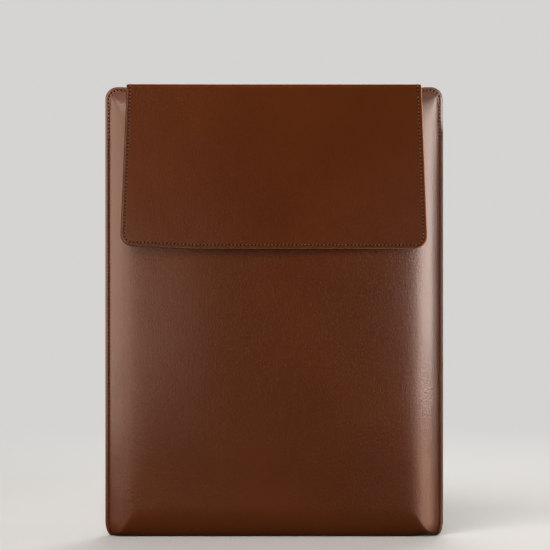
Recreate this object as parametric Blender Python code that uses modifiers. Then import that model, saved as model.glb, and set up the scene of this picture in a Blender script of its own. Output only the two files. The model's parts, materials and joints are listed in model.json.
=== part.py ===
"""A stitched leather laptop sleeve with a folded bottom and a flap that closes over the mouth.

The sleeve stands on its folded bottom, mouth up, front towards -Y.
Origin: middle of the flat bottom, in the plane of the side seams. Metres, +Z up.

The outer shell is one sheet of leather: front, bottom fold and back. Its side edges are
stitched to each other as a narrow flange, and from that flange each face swells outwards.
Inside it are foam pads and a lining, and in the front pad two magnets. The flap is sewn to the
outside of the back, crosses over the mouth and hangs down the front. It bends along two
lines, one at each top edge, so it is built as three rigid lengths: anchor, bridge and flap.
"""

import math
from types import SimpleNamespace

import bmesh
import bpy
from mathutils import Vector
from mathutils.bvhtree import BVHTree

MM = 0.001                # all the dimensions below are in millimetres

# --- shell and layers -------------------------------------------------------------------
HALF_WIDTH = 125.0
HEIGHT = 332.2            # to the top of the shell's corners
HALF_DEPTH = 12.0         # half the thickness of the filled body, seam plane to leather face
LEATHER = 1.3
PADDING = 1.0
LINING = 0.55
LAYER_GAP = 0.2
FLANGE_WIDTH = 3.6        # from the cut edge to where the face starts to swell
FLANGE_FACE = 2.15        # from the seam plane to the flange's outer face
SWELL_WIDTH = 32.4        # distance over which the face swells to its full depth
SWELL_POWER = 4.0

TOP_CORNER = 9.0          # corner radius of the cut edge
CORNER_BLOCK = 36.0       # size of the square that is reshaped at each top corner
CORNER_TIGHTEN = 4.0      # the radius shrinks as much as it is inset, this far in from the edge
CORNER_REGROW = 0.25      # and further in it grows by this share of the inset

MOUTH_CLOSED = 8.0        # the mouth is stitched shut this far in from each side
MOUTH_SLOPE = 1.2
MOUTH_BLEND = 3.0         # rounds the step from side swell to mouth swell
MOUTH_DROP = 2.0          # the mouth's edge lies this much lower under the flap
DROP_SIDES = (12.5, 19.5)  # the drop comes in between these distances from the side
DROP_FADE = 40.0          # and is gone this far down
HEM_DIP = 0.9             # the hem has no foam in it, so it is thinner
HEM_FADE = (3.0, 9.0)     # the dip goes out between these distances below the mouth

# The bottom: EDGE_ values hold at the flange, BOTTOM_ values at full depth.
BOTTOM_FLAT = 5.0         # half the depth of the flat that the sleeve stands on
EDGE_FLAT = 0.8
BOTTOM_RISE = 16.0        # height of the rounding above that flat
EDGE_RISE = 3.0
EAR_IN, EAR_UP = 5.0, 11.0  # the flange's rounded bottom corner

PADDING_AT = LEATHER + LAYER_GAP
LINING_AT = PADDING_AT + PADDING + LAYER_GAP
LAYER_EDGE = 0.3          # the layers inside stop at least this far from the cut edge
CORNER_SLACK = 0.7        # the lining lies this much looser in the top corners
SLACK_FADE = (24.0, 40.0)
LINING_EDGE = 0.65        # the lining's outer face inside the side seams
LINING_EDGE_RISE = 11.0   # height of its rounding there
LINING_EDGE_FLOOR = 8.0   # and height of its lowest turn
LINING_EDGE_SAG = 0.8     # how far it sinks there towards the middle
LINING_MEET = 0.3         # from the seam plane to where the two linings meet, at full depth
LINING_PROBE = 1.2        # the shell is probed this far around each point of the lining
LINING_CLEAR = 0.3

# --- flap, bridge and anchor ------------------------------------------------------------
FLAP_HALF_TOP = 107.7
FLAP_HALF_BOTTOM = 112.4
FLAP_BOTTOM_Z = 212.6
FLAP_CORNER = 9.0
FLAP_CORNER_SHIFT = 0.2   # the corner's centre lies this much further in
FLAP_CLEARANCE = 1.0      # between the shell's front and the flap's lining
FLAP_LINING = 0.6
FLAP_LINING_INSET = 0.4
FLAP_BOARD = 0.8
FLAP_BOARD_GAP = 0.15
BOARD_INSET = 6.5
BOARD_TOP_Z = 322.0
BOARD_CORNER = 11.0       # before the inset
BRIDGE_MID_Z = 332.5      # middle of the bridge's leather
BRIDGE_LINING_GAP = 0.15
BRIDGE_LINING_BACK, BRIDGE_LINING_FRONT = 8.0, -11.6  # its ends in y
FOLD_RADIUS = 4.0         # of the leather's middle, at both folds
ROLL = 1.45               # radius of the rolled leather on each fold line
ROLL_GAP = 0.25
ROLL_STEPS = 14
STRIP_THINNER = 0.06      # the bridge and the anchor are this much thinner than the leather
ANCHOR_BOTTOM_Z = 303.0
ANCHOR_HALF = FLAP_HALF_TOP

# Distances from the seam plane: the anchor's are towards +Y, the flap's towards -Y.
ANCHOR_IN = HALF_DEPTH + LAYER_GAP
ANCHOR_OUT = ANCHOR_IN + LEATHER
FLAP_LINING_IN = HALF_DEPTH + FLAP_CLEARANCE
FLAP_LINING_OUT = FLAP_LINING_IN + FLAP_LINING
FLAP_BOARD_IN = FLAP_LINING_OUT + FLAP_BOARD_GAP
FLAP_BOARD_OUT = FLAP_BOARD_IN + FLAP_BOARD
FLAP_IN = FLAP_BOARD_OUT + FLAP_BOARD_GAP
FLAP_OUT = FLAP_IN + LEATHER
BRIDGE_LOW = BRIDGE_MID_Z - LEATHER / 2
BRIDGE_HIGH = BRIDGE_MID_Z + LEATHER / 2
# A fold's axis sits where straightening the fold keeps the leather's length: pi / 4 of its
# radius from the centre of the bend, along both directions.
KEEP = math.pi / 4 * FOLD_RADIUS
FOLD_Z = BRIDGE_MID_Z - FOLD_RADIUS + KEEP
BACK_FOLD_Y = (ANCHOR_IN + ANCHOR_OUT) / 2 - FOLD_RADIUS + KEEP
FRONT_FOLD_Y = -((FLAP_IN + FLAP_OUT) / 2 - FOLD_RADIUS + KEEP)
BRIDGE_BACK_Y = BACK_FOLD_Y - ROLL - ROLL_GAP
FLAP_TOP_Z = FOLD_Z - ROLL - ROLL_GAP

# --- magnets and thread -----------------------------------------------------------------
MAGNET_RADIUS, MAGNET_THICK = 6.0, 0.8
MAGNET_X, MAGNET_Z = 70.0, 231.0
MAGNET_POCKET = 6.4       # radius
POCKET_CUT = 6.0          # length of the tool that cuts a pocket
PAD_MID_Y = -(HALF_DEPTH - PADDING_AT - PADDING / 2)
BOARD_MID_Y = -(FLAP_BOARD_IN + FLAP_BOARD / 2)

THREAD = 0.3              # radius
THREAD_LIFT = 0.15
LIFT = THREAD + THREAD_LIFT  # from a face to the thread's centre line
STITCH_INSET = 2.6        # on the flap, bridge and anchor
SEAM_INSET = 2.5          # on the shell

FACES = (("front", -1), ("back", 1))    # and the sign of y on each
SIDES = (("left", -1), ("right", 1))    # and the sign of x on each

# --- the shell's grid -------------------------------------------------------------------
# "across" runs from -HALF_WIDTH to HALF_WIDTH. "row" runs down the front from the mouth,
# round the bottom at ROW_MIDDLE and up the back. "down" is the same from either mouth.
LOWEST_STRAIGHT = 20.0                     # height where the straight face ends
ROW_STRAIGHT = HEIGHT - LOWEST_STRAIGHT    # rows 0 to here run down the face in millimetres
ROW_ROUND = ROW_STRAIGHT + 1               # the rounding starts here
ROW_FLAT = ROW_ROUND + 1                   # the flat starts here
ROW_MIDDLE = ROW_FLAT + 1                  # the middle of the bottom

# Columns by their distance from the side edge.
SIDE_STEPS = [0, 1.8, 3.6, 5.0, 7.0, 9.5, 11.0, 12.5, 14.0, 16.0, 20.5, 27.0, 36.0, 70.0,
              HALF_WIDTH]
FACE_ROWS = [0, 1.8, 3.6, 6.0, 9.0, 13.0, 18.0, 26.0, 36.0, 60.0, 140.0, 230.0,
             ROW_STRAIGHT, ROW_ROUND]
TURN_STEPS = 6
BOTTOM_ROWS = [ROW_ROUND + (i + 1) / TURN_STEPS for i in range(TURN_STEPS)] + [ROW_MIDDLE]
HALF_ROWS = FACE_ROWS + BOTTOM_ROWS
LINING_ROWS = [1.8, 2.6] + FACE_ROWS[2:] + BOTTOM_ROWS
COLUMNS = [-HALF_WIDTH + step for step in SIDE_STEPS]
COLUMNS += [HALF_WIDTH - step for step in reversed(SIDE_STEPS[:-1])]
PAD_SIDE, PAD_TOP = 12.0, 13.0             # the pads keep this far from the sides and mouth
PAD_COLUMNS = [across for across in COLUMNS if HALF_WIDTH - abs(across) >= PAD_SIDE]
PAD_ROWS = [down for down in FACE_ROWS if PAD_TOP <= down <= ROW_STRAIGHT]

# The side seam's points: those down the side at SEAM_INSET, then those across under the mouth.
SEAM_DOWNS = [ROW_ROUND - 0.6, 230.0, 140.0, 60.0, 36.0, 26.0, 18.0, 14.0, 11.0, 9.0, 7.0,
              5.5, 4.2, 3.2, SEAM_INSET]
SEAM_SIDES = [3.2, 4.2, 5.5] + [6.5 + 0.8 * i for i in range(18)]
SEAM_SIDES += [22.0, 24.0, 27.0, 31.0, 36.0, 70.0, HALF_WIDTH]


# --- the shell's surface ----------------------------------------------------------------
def blend(start, end, share):
    return start + (end - start) * share


def smooth_min(first, second, width):
    overlap = max(width - abs(first - second), 0.0) / width
    return min(first, second) - overlap * overlap * width / 4


def smooth_step(value, low, high):
    share = min(max((value - low) / (high - low), 0.0), 1.0)
    return share * share * (3 - 2 * share)


def swell(inset):
    """Distance from the seam plane to the leather's face, inset from the cut edge."""
    if inset <= FLANGE_WIDTH:
        return FLANGE_FACE
    share = min((inset - FLANGE_WIDTH) / SWELL_WIDTH, 1.0)
    return FLANGE_FACE + (HALF_DEPTH - FLANGE_FACE) * (1 - (1 - share) ** SWELL_POWER)


def fullness(depth):
    """0 on the flange, 1 where the shell has its full depth."""
    return (depth - FLANGE_FACE) / (HALF_DEPTH - FLANGE_FACE)


def round_corner(side, top):
    """Carries a point of a square corner, side in from the edge and top down from it, onto a
    rounded corner. The square ring through the point becomes a ring with an arc in it."""
    out, up = CORNER_BLOCK - side, CORNER_BLOCK - top
    if out <= 0 or up <= 0:
        return side, top
    reach = max(out, up)
    inset = CORNER_BLOCK - reach
    if inset < CORNER_TIGHTEN:
        radius = TOP_CORNER - inset
    else:
        radius = TOP_CORNER - CORNER_TIGHTEN + (inset - CORNER_TIGHTEN) * CORNER_REGROW
    radius = min(radius, reach)
    share = 0.5 * up / reach if out >= up else 1 - 0.5 * out / reach
    straight, curved = reach - radius, math.pi / 2 * radius
    along = share * (2 * straight + curved)
    if along <= straight:
        out, up = reach, along
    elif along <= straight + curved:
        turn = (along - straight) / radius
        out = straight + radius * math.cos(turn)
        up = straight + radius * math.sin(turn)
    else:
        out, up = 2 * straight + curved - along, reach
    return CORNER_BLOCK - out, CORNER_BLOCK - up


def ear_shift(side, z):
    """How far the flange's rounded bottom corner draws a point in."""
    if z >= EAR_UP:
        return 0.0
    reach = (EAR_UP - max(z, 0.0)) / EAR_UP
    return EAR_IN * (1 - math.sqrt(1 - reach * reach)) * max(1 - side / CORNER_BLOCK, 0.0) ** 2


def face_depth(side, top, dip):
    """Depth of the straight part of the face, with or without the dip along the hem."""
    inset = side
    if top < CORNER_BLOCK * 1.5:
        mouth = top + max(side - MOUTH_CLOSED, 0.0) * MOUTH_SLOPE
        inset = smooth_min(side, mouth, MOUTH_BLEND)
    depth = swell(max(inset, 0.0))
    if dip:
        depth -= HEM_DIP * fullness(depth) * (1 - smooth_step(top, *HEM_FADE))
    return depth


def shell_point(across, row, dip=True):
    """A point of the shell's outer face."""
    back = row > ROW_MIDDLE
    down = 2 * ROW_MIDDLE - row if back else row
    side = HALF_WIDTH - abs(across)
    if down <= ROW_STRAIGHT:
        depth = face_depth(side, down, dip)
        in_by, top = round_corner(side, down)
        drop = MOUTH_DROP * smooth_step(side, *DROP_SIDES) * (1 - smooth_step(down, 0.0, DROP_FADE))
        z = HEIGHT - top - drop
    else:
        in_by = side
        depth = swell(side)
        full = fullness(depth)
        flat = blend(EDGE_FLAT, BOTTOM_FLAT, full)
        rise = blend(EDGE_RISE, BOTTOM_RISE, full)
        if down <= ROW_ROUND:
            z = blend(LOWEST_STRAIGHT, rise, down - ROW_STRAIGHT)
        elif down <= ROW_FLAT:
            turn = (down - ROW_ROUND) * math.pi / 2
            depth = blend(flat, depth, math.cos(turn))
            z = rise * (1 - math.sin(turn))
        else:
            depth = flat * (ROW_MIDDLE - down)
            z = 0.0
    in_by += ear_shift(side, z)
    return Vector((math.copysign(HALF_WIDTH - in_by, across), depth if back else -depth, z))


def shell_normal(across, row):
    step = 0.02
    along_x = shell_point(across + step, row, False) - shell_point(across - step, row, False)
    along_row = shell_point(across, row + step, False) - shell_point(across, row - step, False)
    normal = along_row.cross(along_x)
    return normal.normalized() if normal.length > 1e-9 else Vector((0, -1, 0))


def inner_point(across, down, inset, least, sign):
    """A point inset into the shell from its outer face on the side of y that sign gives,
    never nearer the seam plane than least."""
    across = math.copysign(min(abs(across), HALF_WIDTH - LAYER_EDGE), across)
    row = down if sign < 0 else 2 * ROW_MIDDLE - down
    from_corner = max(HALF_WIDTH - abs(across), down)
    inset += CORNER_SLACK * inset / LINING_AT * (1 - smooth_step(from_corner, *SLACK_FADE))
    normal = shell_normal(across, row)
    if normal.y * sign < -0.2:    # keep it pointing out of this face
        normal = -normal
    point = shell_point(across, row, False) - normal * inset
    point.y = sign * max(sign * point.y, least)
    return point


def lining_point(across, down, sign):
    """The lining's outer face: it follows the shell down, then turns in to meet the other one."""
    point = inner_point(across, min(down, ROW_STRAIGHT), LINING_AT, LINING_EDGE, sign)
    if down <= ROW_STRAIGHT:
        return point
    depth = abs(point.y)
    full = (depth - LINING_EDGE) / (HALF_DEPTH - LINING_AT - LINING_EDGE)
    flat = blend(LINING_EDGE, BOTTOM_FLAT, full)
    rise = blend(LINING_EDGE_RISE, BOTTOM_RISE, full)
    floor = blend(LINING_EDGE_FLOOR, LINING_AT, full)
    if down <= ROW_ROUND:
        z = blend(LOWEST_STRAIGHT, rise, down - ROW_STRAIGHT)
    elif down <= ROW_FLAT:
        turn = (down - ROW_ROUND) * math.pi / 2
        depth = blend(flat, depth, math.cos(turn))
        z = blend(floor, rise, 1 - math.sin(turn))
    else:
        share = down - ROW_FLAT
        depth = blend(flat, blend(LINING_EDGE, LINING_MEET, full), share)
        z = floor - LINING_EDGE_SAG * (1 - full) * share
    x = abs(point.x) - ear_shift(HALF_WIDTH - abs(point.x), z)
    return Vector((math.copysign(x, across), sign * depth, z))


def clear_of_shell(point, surface):
    """Keeps a point of the lining clear of the facets of the shell's inner face."""
    if point.z < 40.0 or abs(point.x) < HALF_WIDTH - CORNER_BLOCK:
        return point
    sign = math.copysign(1.0, point.y)
    for probe_x, probe_z in ((0, 0), (1, 0), (-1, 0), (0, 1), (0, -1)):
        start = Vector((point.x + probe_x * LINING_PROBE, 0.0, point.z + probe_z * LINING_PROBE))
        hit = surface.ray_cast(start * MM, Vector((0, sign, 0)))[0]
        if hit is not None:
            depth = min(abs(point.y), abs(hit.y) / MM - LINING_CLEAR)
            point.y = sign * max(depth, LINING_EDGE - 0.05)
    return point


# --- building blocks --------------------------------------------------------------------
def make_material(name, colour, roughness, metallic=0.0):
    material = bpy.data.materials.new(name)
    material.use_nodes = True
    shader = material.node_tree.nodes["Principled BSDF"]
    shader.inputs["Base Color"].default_value = (*colour, 1)
    shader.inputs["Roughness"].default_value = roughness
    shader.inputs["Metallic"].default_value = metallic
    return material


def make_materials():
    return SimpleNamespace(
        leather=make_material("brown_leather", colour=(0.150, 0.047, 0.016), roughness=0.42),
        suede=make_material("suede_lining", colour=(0.19, 0.12, 0.075), roughness=0.95),
        foam=make_material("foam_padding", colour=(0.06, 0.06, 0.065), roughness=0.9),
        board=make_material("stiffening_board", colour=(0.28, 0.20, 0.13), roughness=0.85),
        cord=make_material("sewing_thread", colour=(0.17, 0.065, 0.03), roughness=0.7),
        nickel=make_material("nickel_plate", colour=(0.66, 0.64, 0.60), roughness=0.25,
                             metallic=1.0),
    )


def add(obj, collection, material):
    """Puts an object in this collection only, with this material only."""
    for other in list(obj.users_collection):
        other.objects.unlink(obj)
    collection.objects.link(obj)
    obj.data.materials.clear()
    obj.data.materials.append(material)
    return obj


def shade(mesh):
    mesh.shade_smooth()
    mesh.set_sharp_from_angle(angle=math.radians(40))


def sheet(name, columns, rows, place, thickness, collection, material, even=False):
    """A grid laid onto a surface by place(column, row) and thickened towards the seam plane."""
    last_column, last_row = len(columns) - 1, len(rows) - 1
    bpy.ops.mesh.primitive_grid_add(x_subdivisions=last_column, y_subdivisions=last_row, size=2)
    obj = bpy.context.object
    obj.name = name
    mesh = obj.data
    mesh.name = name
    for vertex in mesh.vertices:
        i = round((vertex.co.x + 1) / 2 * last_column)
        j = round((vertex.co.y + 1) / 2 * last_row)
        vertex.co = place(columns[i], rows[j]) * MM
    mesh.update()
    sample = mesh.polygons[last_row // 4 * last_column + last_column // 2]
    if sample.normal.y * sample.center.y < 0:
        mesh.flip_normals()
    solid = obj.modifiers.new("Thickness", "SOLIDIFY")
    solid.thickness = thickness * MM
    solid.offset = -1
    solid.use_even_offset = even
    solid.use_quality_normals = True
    facets = obj.modifiers.new("Facets", "TRIANGULATE")
    facets.quad_method = "SHORTEST_DIAGONAL"
    shade(mesh)
    return add(obj, collection, material)


def poly_curve(name, points, dimensions):
    curve = bpy.data.curves.new(name, "CURVE")
    curve.dimensions = dimensions
    spline = curve.splines.new("POLY")
    spline.points.add(len(points) - 1)
    for point, place in zip(spline.points, points):
        point.co = (*(place * MM), 1)
    return curve


def prism(name, outline, half, rotation, y, collection, material):
    """A flat outline extruded half each way, then turned and moved to y."""
    curve = poly_curve(name, [Vector((*pair, 0)) for pair in outline], "2D")
    curve.fill_mode = "BOTH"
    curve.extrude = half * MM
    curve.splines[0].use_cyclic_u = True
    obj = bpy.data.objects.new(name, curve)
    obj.rotation_euler = rotation
    obj.location = (0, y * MM, 0)
    return add(obj, collection, material)


def cross_strip(name, profile, half_width, collection, material):
    """A (y, z) profile running across the sleeve."""
    turned = (math.pi / 2, 0, math.pi / 2)
    return prism(name, profile, half_width, turned, 0, collection, material)


def upright_plate(name, outline, thickness, y, collection, material):
    """An (x, z) outline standing with its middle at y."""
    return prism(name, outline, thickness / 2, (math.pi / 2, 0, 0), y, collection, material)


def thread(name, points, collection, material):
    curve = poly_curve(name, points, "3D")
    curve.bevel_depth = THREAD * MM
    curve.bevel_resolution = 1
    curve.use_fill_caps = True
    curve.twist_mode = "MINIMUM"
    return add(bpy.data.objects.new(name, curve), collection, material)


def magnet_disc(name, x, y, radius, thickness, collection, material):
    """A disc at the magnets' height, its axis along y."""
    bpy.ops.mesh.primitive_cylinder_add(
        vertices=32, radius=radius * MM, depth=thickness * MM,
        location=(x * MM, y * MM, MAGNET_Z * MM), rotation=(math.pi / 2, 0, 0))
    obj = bpy.context.object
    obj.name = name
    shade(obj.data)
    return add(obj, collection, material)


def arc(centre, radius, start, end, steps):
    """Points on an arc from start to end, in degrees."""
    angles = [math.radians(start + (end - start) * i / steps) for i in range(steps + 1)]
    return [(centre[0] + radius * math.cos(angle), centre[1] + radius * math.sin(angle))
            for angle in angles]


def flap_outline(inset, top, corner=FLAP_CORNER):
    """The flap's outline as (x, z): flaring sides and rounded bottom corners, inset from
    the cut edge."""
    lean = (FLAP_HALF_BOTTOM - FLAP_HALF_TOP) / (FOLD_Z - FLAP_BOTTOM_Z)

    def half_at(z):
        return FLAP_HALF_TOP + lean * (FOLD_Z - z) - inset

    low, radius = FLAP_BOTTOM_Z + inset, corner - inset
    centre = (half_at(low) - radius - FLAP_CORNER_SHIFT, low + radius)
    right = [(half_at(top), top)] + arc(centre, radius, 0, -90, 6)
    return right + [(-x, z) for x, z in reversed(right)]


# --- the body ---------------------------------------------------------------------------
def build_shell(parts, material):
    rows = HALF_ROWS + [2 * ROW_MIDDLE - row for row in reversed(HALF_ROWS[:-1])]
    return sheet("outer_shell", COLUMNS, rows, shell_point, LEATHER, parts, material, even=True)


def surface_of(obj):
    """A search tree of the object's faces, with its modifiers applied."""
    faces = bmesh.new()
    faces.from_object(obj, bpy.context.evaluated_depsgraph_get())
    surface = BVHTree.FromBMesh(faces)
    faces.free()
    return surface


def build_lining(name, sign, surface, parts, material):
    """One of two sheets that meet at the bottom and are held in the side seams."""
    def place(across, down):
        return clear_of_shell(lining_point(across, down, sign), surface)

    sheet(name, COLUMNS, LINING_ROWS, place, LINING, parts, material)


def build_padding(name, sign, parts, material):
    """A foam pad, clear of the seams, the hem and the bottom fold."""
    def place(across, down):
        return inner_point(across, down, PADDING_AT, 0.0, sign)

    return sheet(name, PAD_COLUMNS, PAD_ROWS, place, PADDING, parts, material)


# --- the flap ---------------------------------------------------------------------------
def build_flap_board(parts, material):
    """The board, turned from a curve into a closed mesh so that pockets can be cut in it."""
    name = "flap_board"
    outline = flap_outline(BOARD_INSET, BOARD_TOP_Z, BOARD_CORNER)
    plate = upright_plate(name, outline, FLAP_BOARD, BOARD_MID_Y, parts, material)
    graph = bpy.context.evaluated_depsgraph_get()
    mesh = bpy.data.meshes.new_from_object(plate.evaluated_get(graph), depsgraph=graph)
    work = bmesh.new()
    work.from_mesh(mesh)
    bmesh.ops.remove_doubles(work, verts=work.verts, dist=0.00001)
    bmesh.ops.recalc_face_normals(work, faces=work.faces)
    work.to_mesh(mesh)
    work.free()
    placement = plate.matrix_world.copy()
    bpy.data.objects.remove(plate)
    solid = bpy.data.objects.new(name, mesh)
    solid.matrix_world = placement
    return add(solid, parts, material)


def cut_pocket(host, side, x, y, cutters, material):
    cutter = magnet_disc(f"pocket_{side}_{host.name}", x, y, MAGNET_POCKET, POCKET_CUT,
                         cutters, material)
    cutter.hide_render = True
    cutter.display_type = "WIRE"
    cut = host.modifiers.new("Pocket " + side, "BOOLEAN")
    cut.operation = "DIFFERENCE"
    cut.solver = "EXACT"
    cut.object = cutter


def build_magnets(pad, board, parts, cutters, material):
    """Closing magnets: a pair in pockets of the front pad, a pair in the flap's board."""
    for side, sign in SIDES:
        x = sign * MAGNET_X
        for name, host, y, thickness in (("front_magnet_", pad, PAD_MID_Y, MAGNET_THICK),
                                         ("flap_magnet_", board, BOARD_MID_Y, FLAP_BOARD)):
            magnet_disc(name + side, x, y, MAGNET_RADIUS, thickness, parts, material)
            cut_pocket(host, side, x, y, cutters, material)


def build_bridge_leather(parts, material):
    """The length over the mouth, ending in a roll on the front fold line."""
    high = BRIDGE_HIGH - STRIP_THINNER
    start = math.degrees(math.asin((high - FOLD_Z) / ROLL))
    end = 360 + math.degrees(math.asin((BRIDGE_LOW - FOLD_Z) / ROLL))
    profile = [(BRIDGE_BACK_Y, BRIDGE_LOW), (BRIDGE_BACK_Y, high)]
    profile += arc((FRONT_FOLD_Y, FOLD_Z), ROLL, start, end, ROLL_STEPS)
    cross_strip("bridge_leather", profile, FLAP_HALF_TOP, parts, material)


def build_anchor(parts, material):
    """The length sewn to the back, ending in a roll on the back fold line."""
    outer = ANCHOR_OUT - STRIP_THINNER
    start = -math.degrees(math.acos((outer - BACK_FOLD_Y) / ROLL))
    end = 360 - math.degrees(math.acos((ANCHOR_IN - BACK_FOLD_Y) / ROLL))
    profile = [(ANCHOR_IN, ANCHOR_BOTTOM_Z), (outer, ANCHOR_BOTTOM_Z)]
    profile += arc((BACK_FOLD_Y, FOLD_Z), ROLL, start, end, ROLL_STEPS)
    cross_strip("flap_anchor", profile, ANCHOR_HALF, parts, material)


def build_flap_leather(parts, material):
    upright_plate("flap_leather", flap_outline(0.0, FLAP_TOP_Z), LEATHER,
                  -(FLAP_IN + FLAP_OUT) / 2, parts, material)


def build_bridge_lining(parts, material):
    high = BRIDGE_LOW - BRIDGE_LINING_GAP
    low = high - FLAP_LINING
    profile = [(BRIDGE_LINING_BACK, low), (BRIDGE_LINING_BACK, high),
               (BRIDGE_LINING_FRONT, high), (BRIDGE_LINING_FRONT, low)]
    cross_strip("bridge_lining", profile, FLAP_HALF_TOP - FLAP_LINING_INSET, parts, material)


def build_flap_lining(parts, material):
    upright_plate("flap_lining", flap_outline(FLAP_LINING_INSET, FLAP_TOP_Z - 0.3), FLAP_LINING,
                  -(FLAP_LINING_IN + FLAP_LINING_OUT) / 2, parts, material)


# --- the sewing thread: each run is one length lying on the face it shows on ------------
def build_seam_thread(name, sign, surface, parts, material):
    """Up one side, across under the mouth and down the other side."""
    half = [(SEAM_INSET, down) for down in SEAM_DOWNS]
    half += [(side, SEAM_INSET) for side in SEAM_SIDES]
    line = [(side - HALF_WIDTH, down) for side, down in half]
    line += [(HALF_WIDTH - side, down) for side, down in reversed(half[:-1])]
    path = []
    for across, down in line:
        place = shell_point(across, down)
        start = Vector((place.x, sign * 30.0, place.z))
        hit, normal, _, _ = surface.ray_cast(start * MM, Vector((0, -sign, 0)))
        point = hit / MM + normal * LIFT
        for _ in range(6):    # push it out of any other facet it is too near
            near = surface.find_nearest(point * MM)[0] / MM
            if (point - near).length < LIFT:
                point = near + (point - near).normalized() * LIFT
        path.append(point)
    thread(name, path, parts, material)


def build_flap_threads(parts, material):
    outline = flap_outline(STITCH_INSET, FLAP_TOP_Z - 1.0)
    for face, y in (("outer", -(FLAP_OUT + LIFT)), ("inner", -(FLAP_LINING_IN - LIFT))):
        thread("flap_thread_" + face, [Vector((x, y, z)) for x, z in outline], parts, material)


def build_bridge_threads(parts, material):
    for side, sign in SIDES:
        x = sign * (FLAP_HALF_TOP - STITCH_INSET)
        ends = (BRIDGE_BACK_Y - 0.5, FRONT_FOLD_Y + 0.6)
        thread("bridge_thread_" + side, [Vector((x, y, BRIDGE_HIGH + LIFT)) for y in ends],
               parts, material)


def build_anchor_thread(parts, material):
    x, y = ANCHOR_HALF - STITCH_INSET, ANCHOR_OUT + LIFT
    low, high = ANCHOR_BOTTOM_Z + STITCH_INSET, FOLD_Z - 2.0
    path = [Vector((-x, y, high)), Vector((-x, y, low)), Vector((x, y, low)), Vector((x, y, high))]
    thread("flap_anchor_thread", path, parts, material)


# --- the joints -------------------------------------------------------------------------
def axis_empty(name, y, collection, parent=None):
    """An empty on a fold line."""
    empty = bpy.data.objects.new(name, None)
    empty.empty_display_type = "ARROWS"
    empty.empty_display_size = 0.02
    collection.objects.link(empty)
    empty.location = (0, y * MM, FOLD_Z * MM)
    if parent:
        empty.parent = parent
        empty.location -= parent.location
    return empty


def hang(objects, empty):
    """Parents objects to the empty on their joint's axis, without moving them."""
    bpy.context.view_layer.update()
    for obj in objects:
        obj.parent = empty
        obj.matrix_parent_inverse = empty.matrix_world.inverted()


def add_joints(parts):
    """The bridge turns on the back fold, and the flap on the front fold."""
    pieces = list(parts.objects)
    lift_axis = axis_empty("flap_lift_axis", BACK_FOLD_Y, parts)
    fold_axis = axis_empty("flap_fold_axis", FRONT_FOLD_Y, parts, lift_axis)
    hang([obj for obj in pieces if obj.name.startswith("bridge_")], lift_axis)
    hang([obj for obj in pieces if obj.name.startswith("flap_") and "anchor" not in obj.name],
         fold_axis)


def main():
    for obj in list(bpy.data.objects):
        bpy.data.objects.remove(obj)
    parts = bpy.data.collections.new("laptop_sleeve")
    cutters = bpy.data.collections.new("cutters")
    for collection in (parts, cutters):
        bpy.context.scene.collection.children.link(collection)
    materials = make_materials()

    surface = surface_of(build_shell(parts, materials.leather))
    pads = {}
    for face, sign in FACES:
        build_lining(face + "_lining", sign, surface, parts, materials.suede)
        pads[face] = build_padding(face + "_padding", sign, parts, materials.foam)

    board = build_flap_board(parts, materials.board)
    build_magnets(pads["front"], board, parts, cutters, materials.nickel)
    for build in (build_bridge_leather, build_anchor, build_flap_leather):
        build(parts, materials.leather)
    for build in (build_bridge_lining, build_flap_lining):
        build(parts, materials.suede)

    for face, sign in FACES:
        build_seam_thread("seam_thread_" + face, sign, surface, parts, materials.cord)
    for build in (build_flap_threads, build_bridge_threads, build_anchor_thread):
        build(parts, materials.cord)
    add_joints(parts)


main()
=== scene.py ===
"""The looks of a stitched leather laptop sleeve, built round its CAD frame.

Lengths are in millimetres until a mesh is made. +Z is up, the front faces -Y and +X is on the
right seen from the front. The sleeve stands on z = 0 with its mouth at the top. One strap of
leather runs up the back, over the mouth and down the front, where it hangs as a flap.
"""

import json
import math

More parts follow.
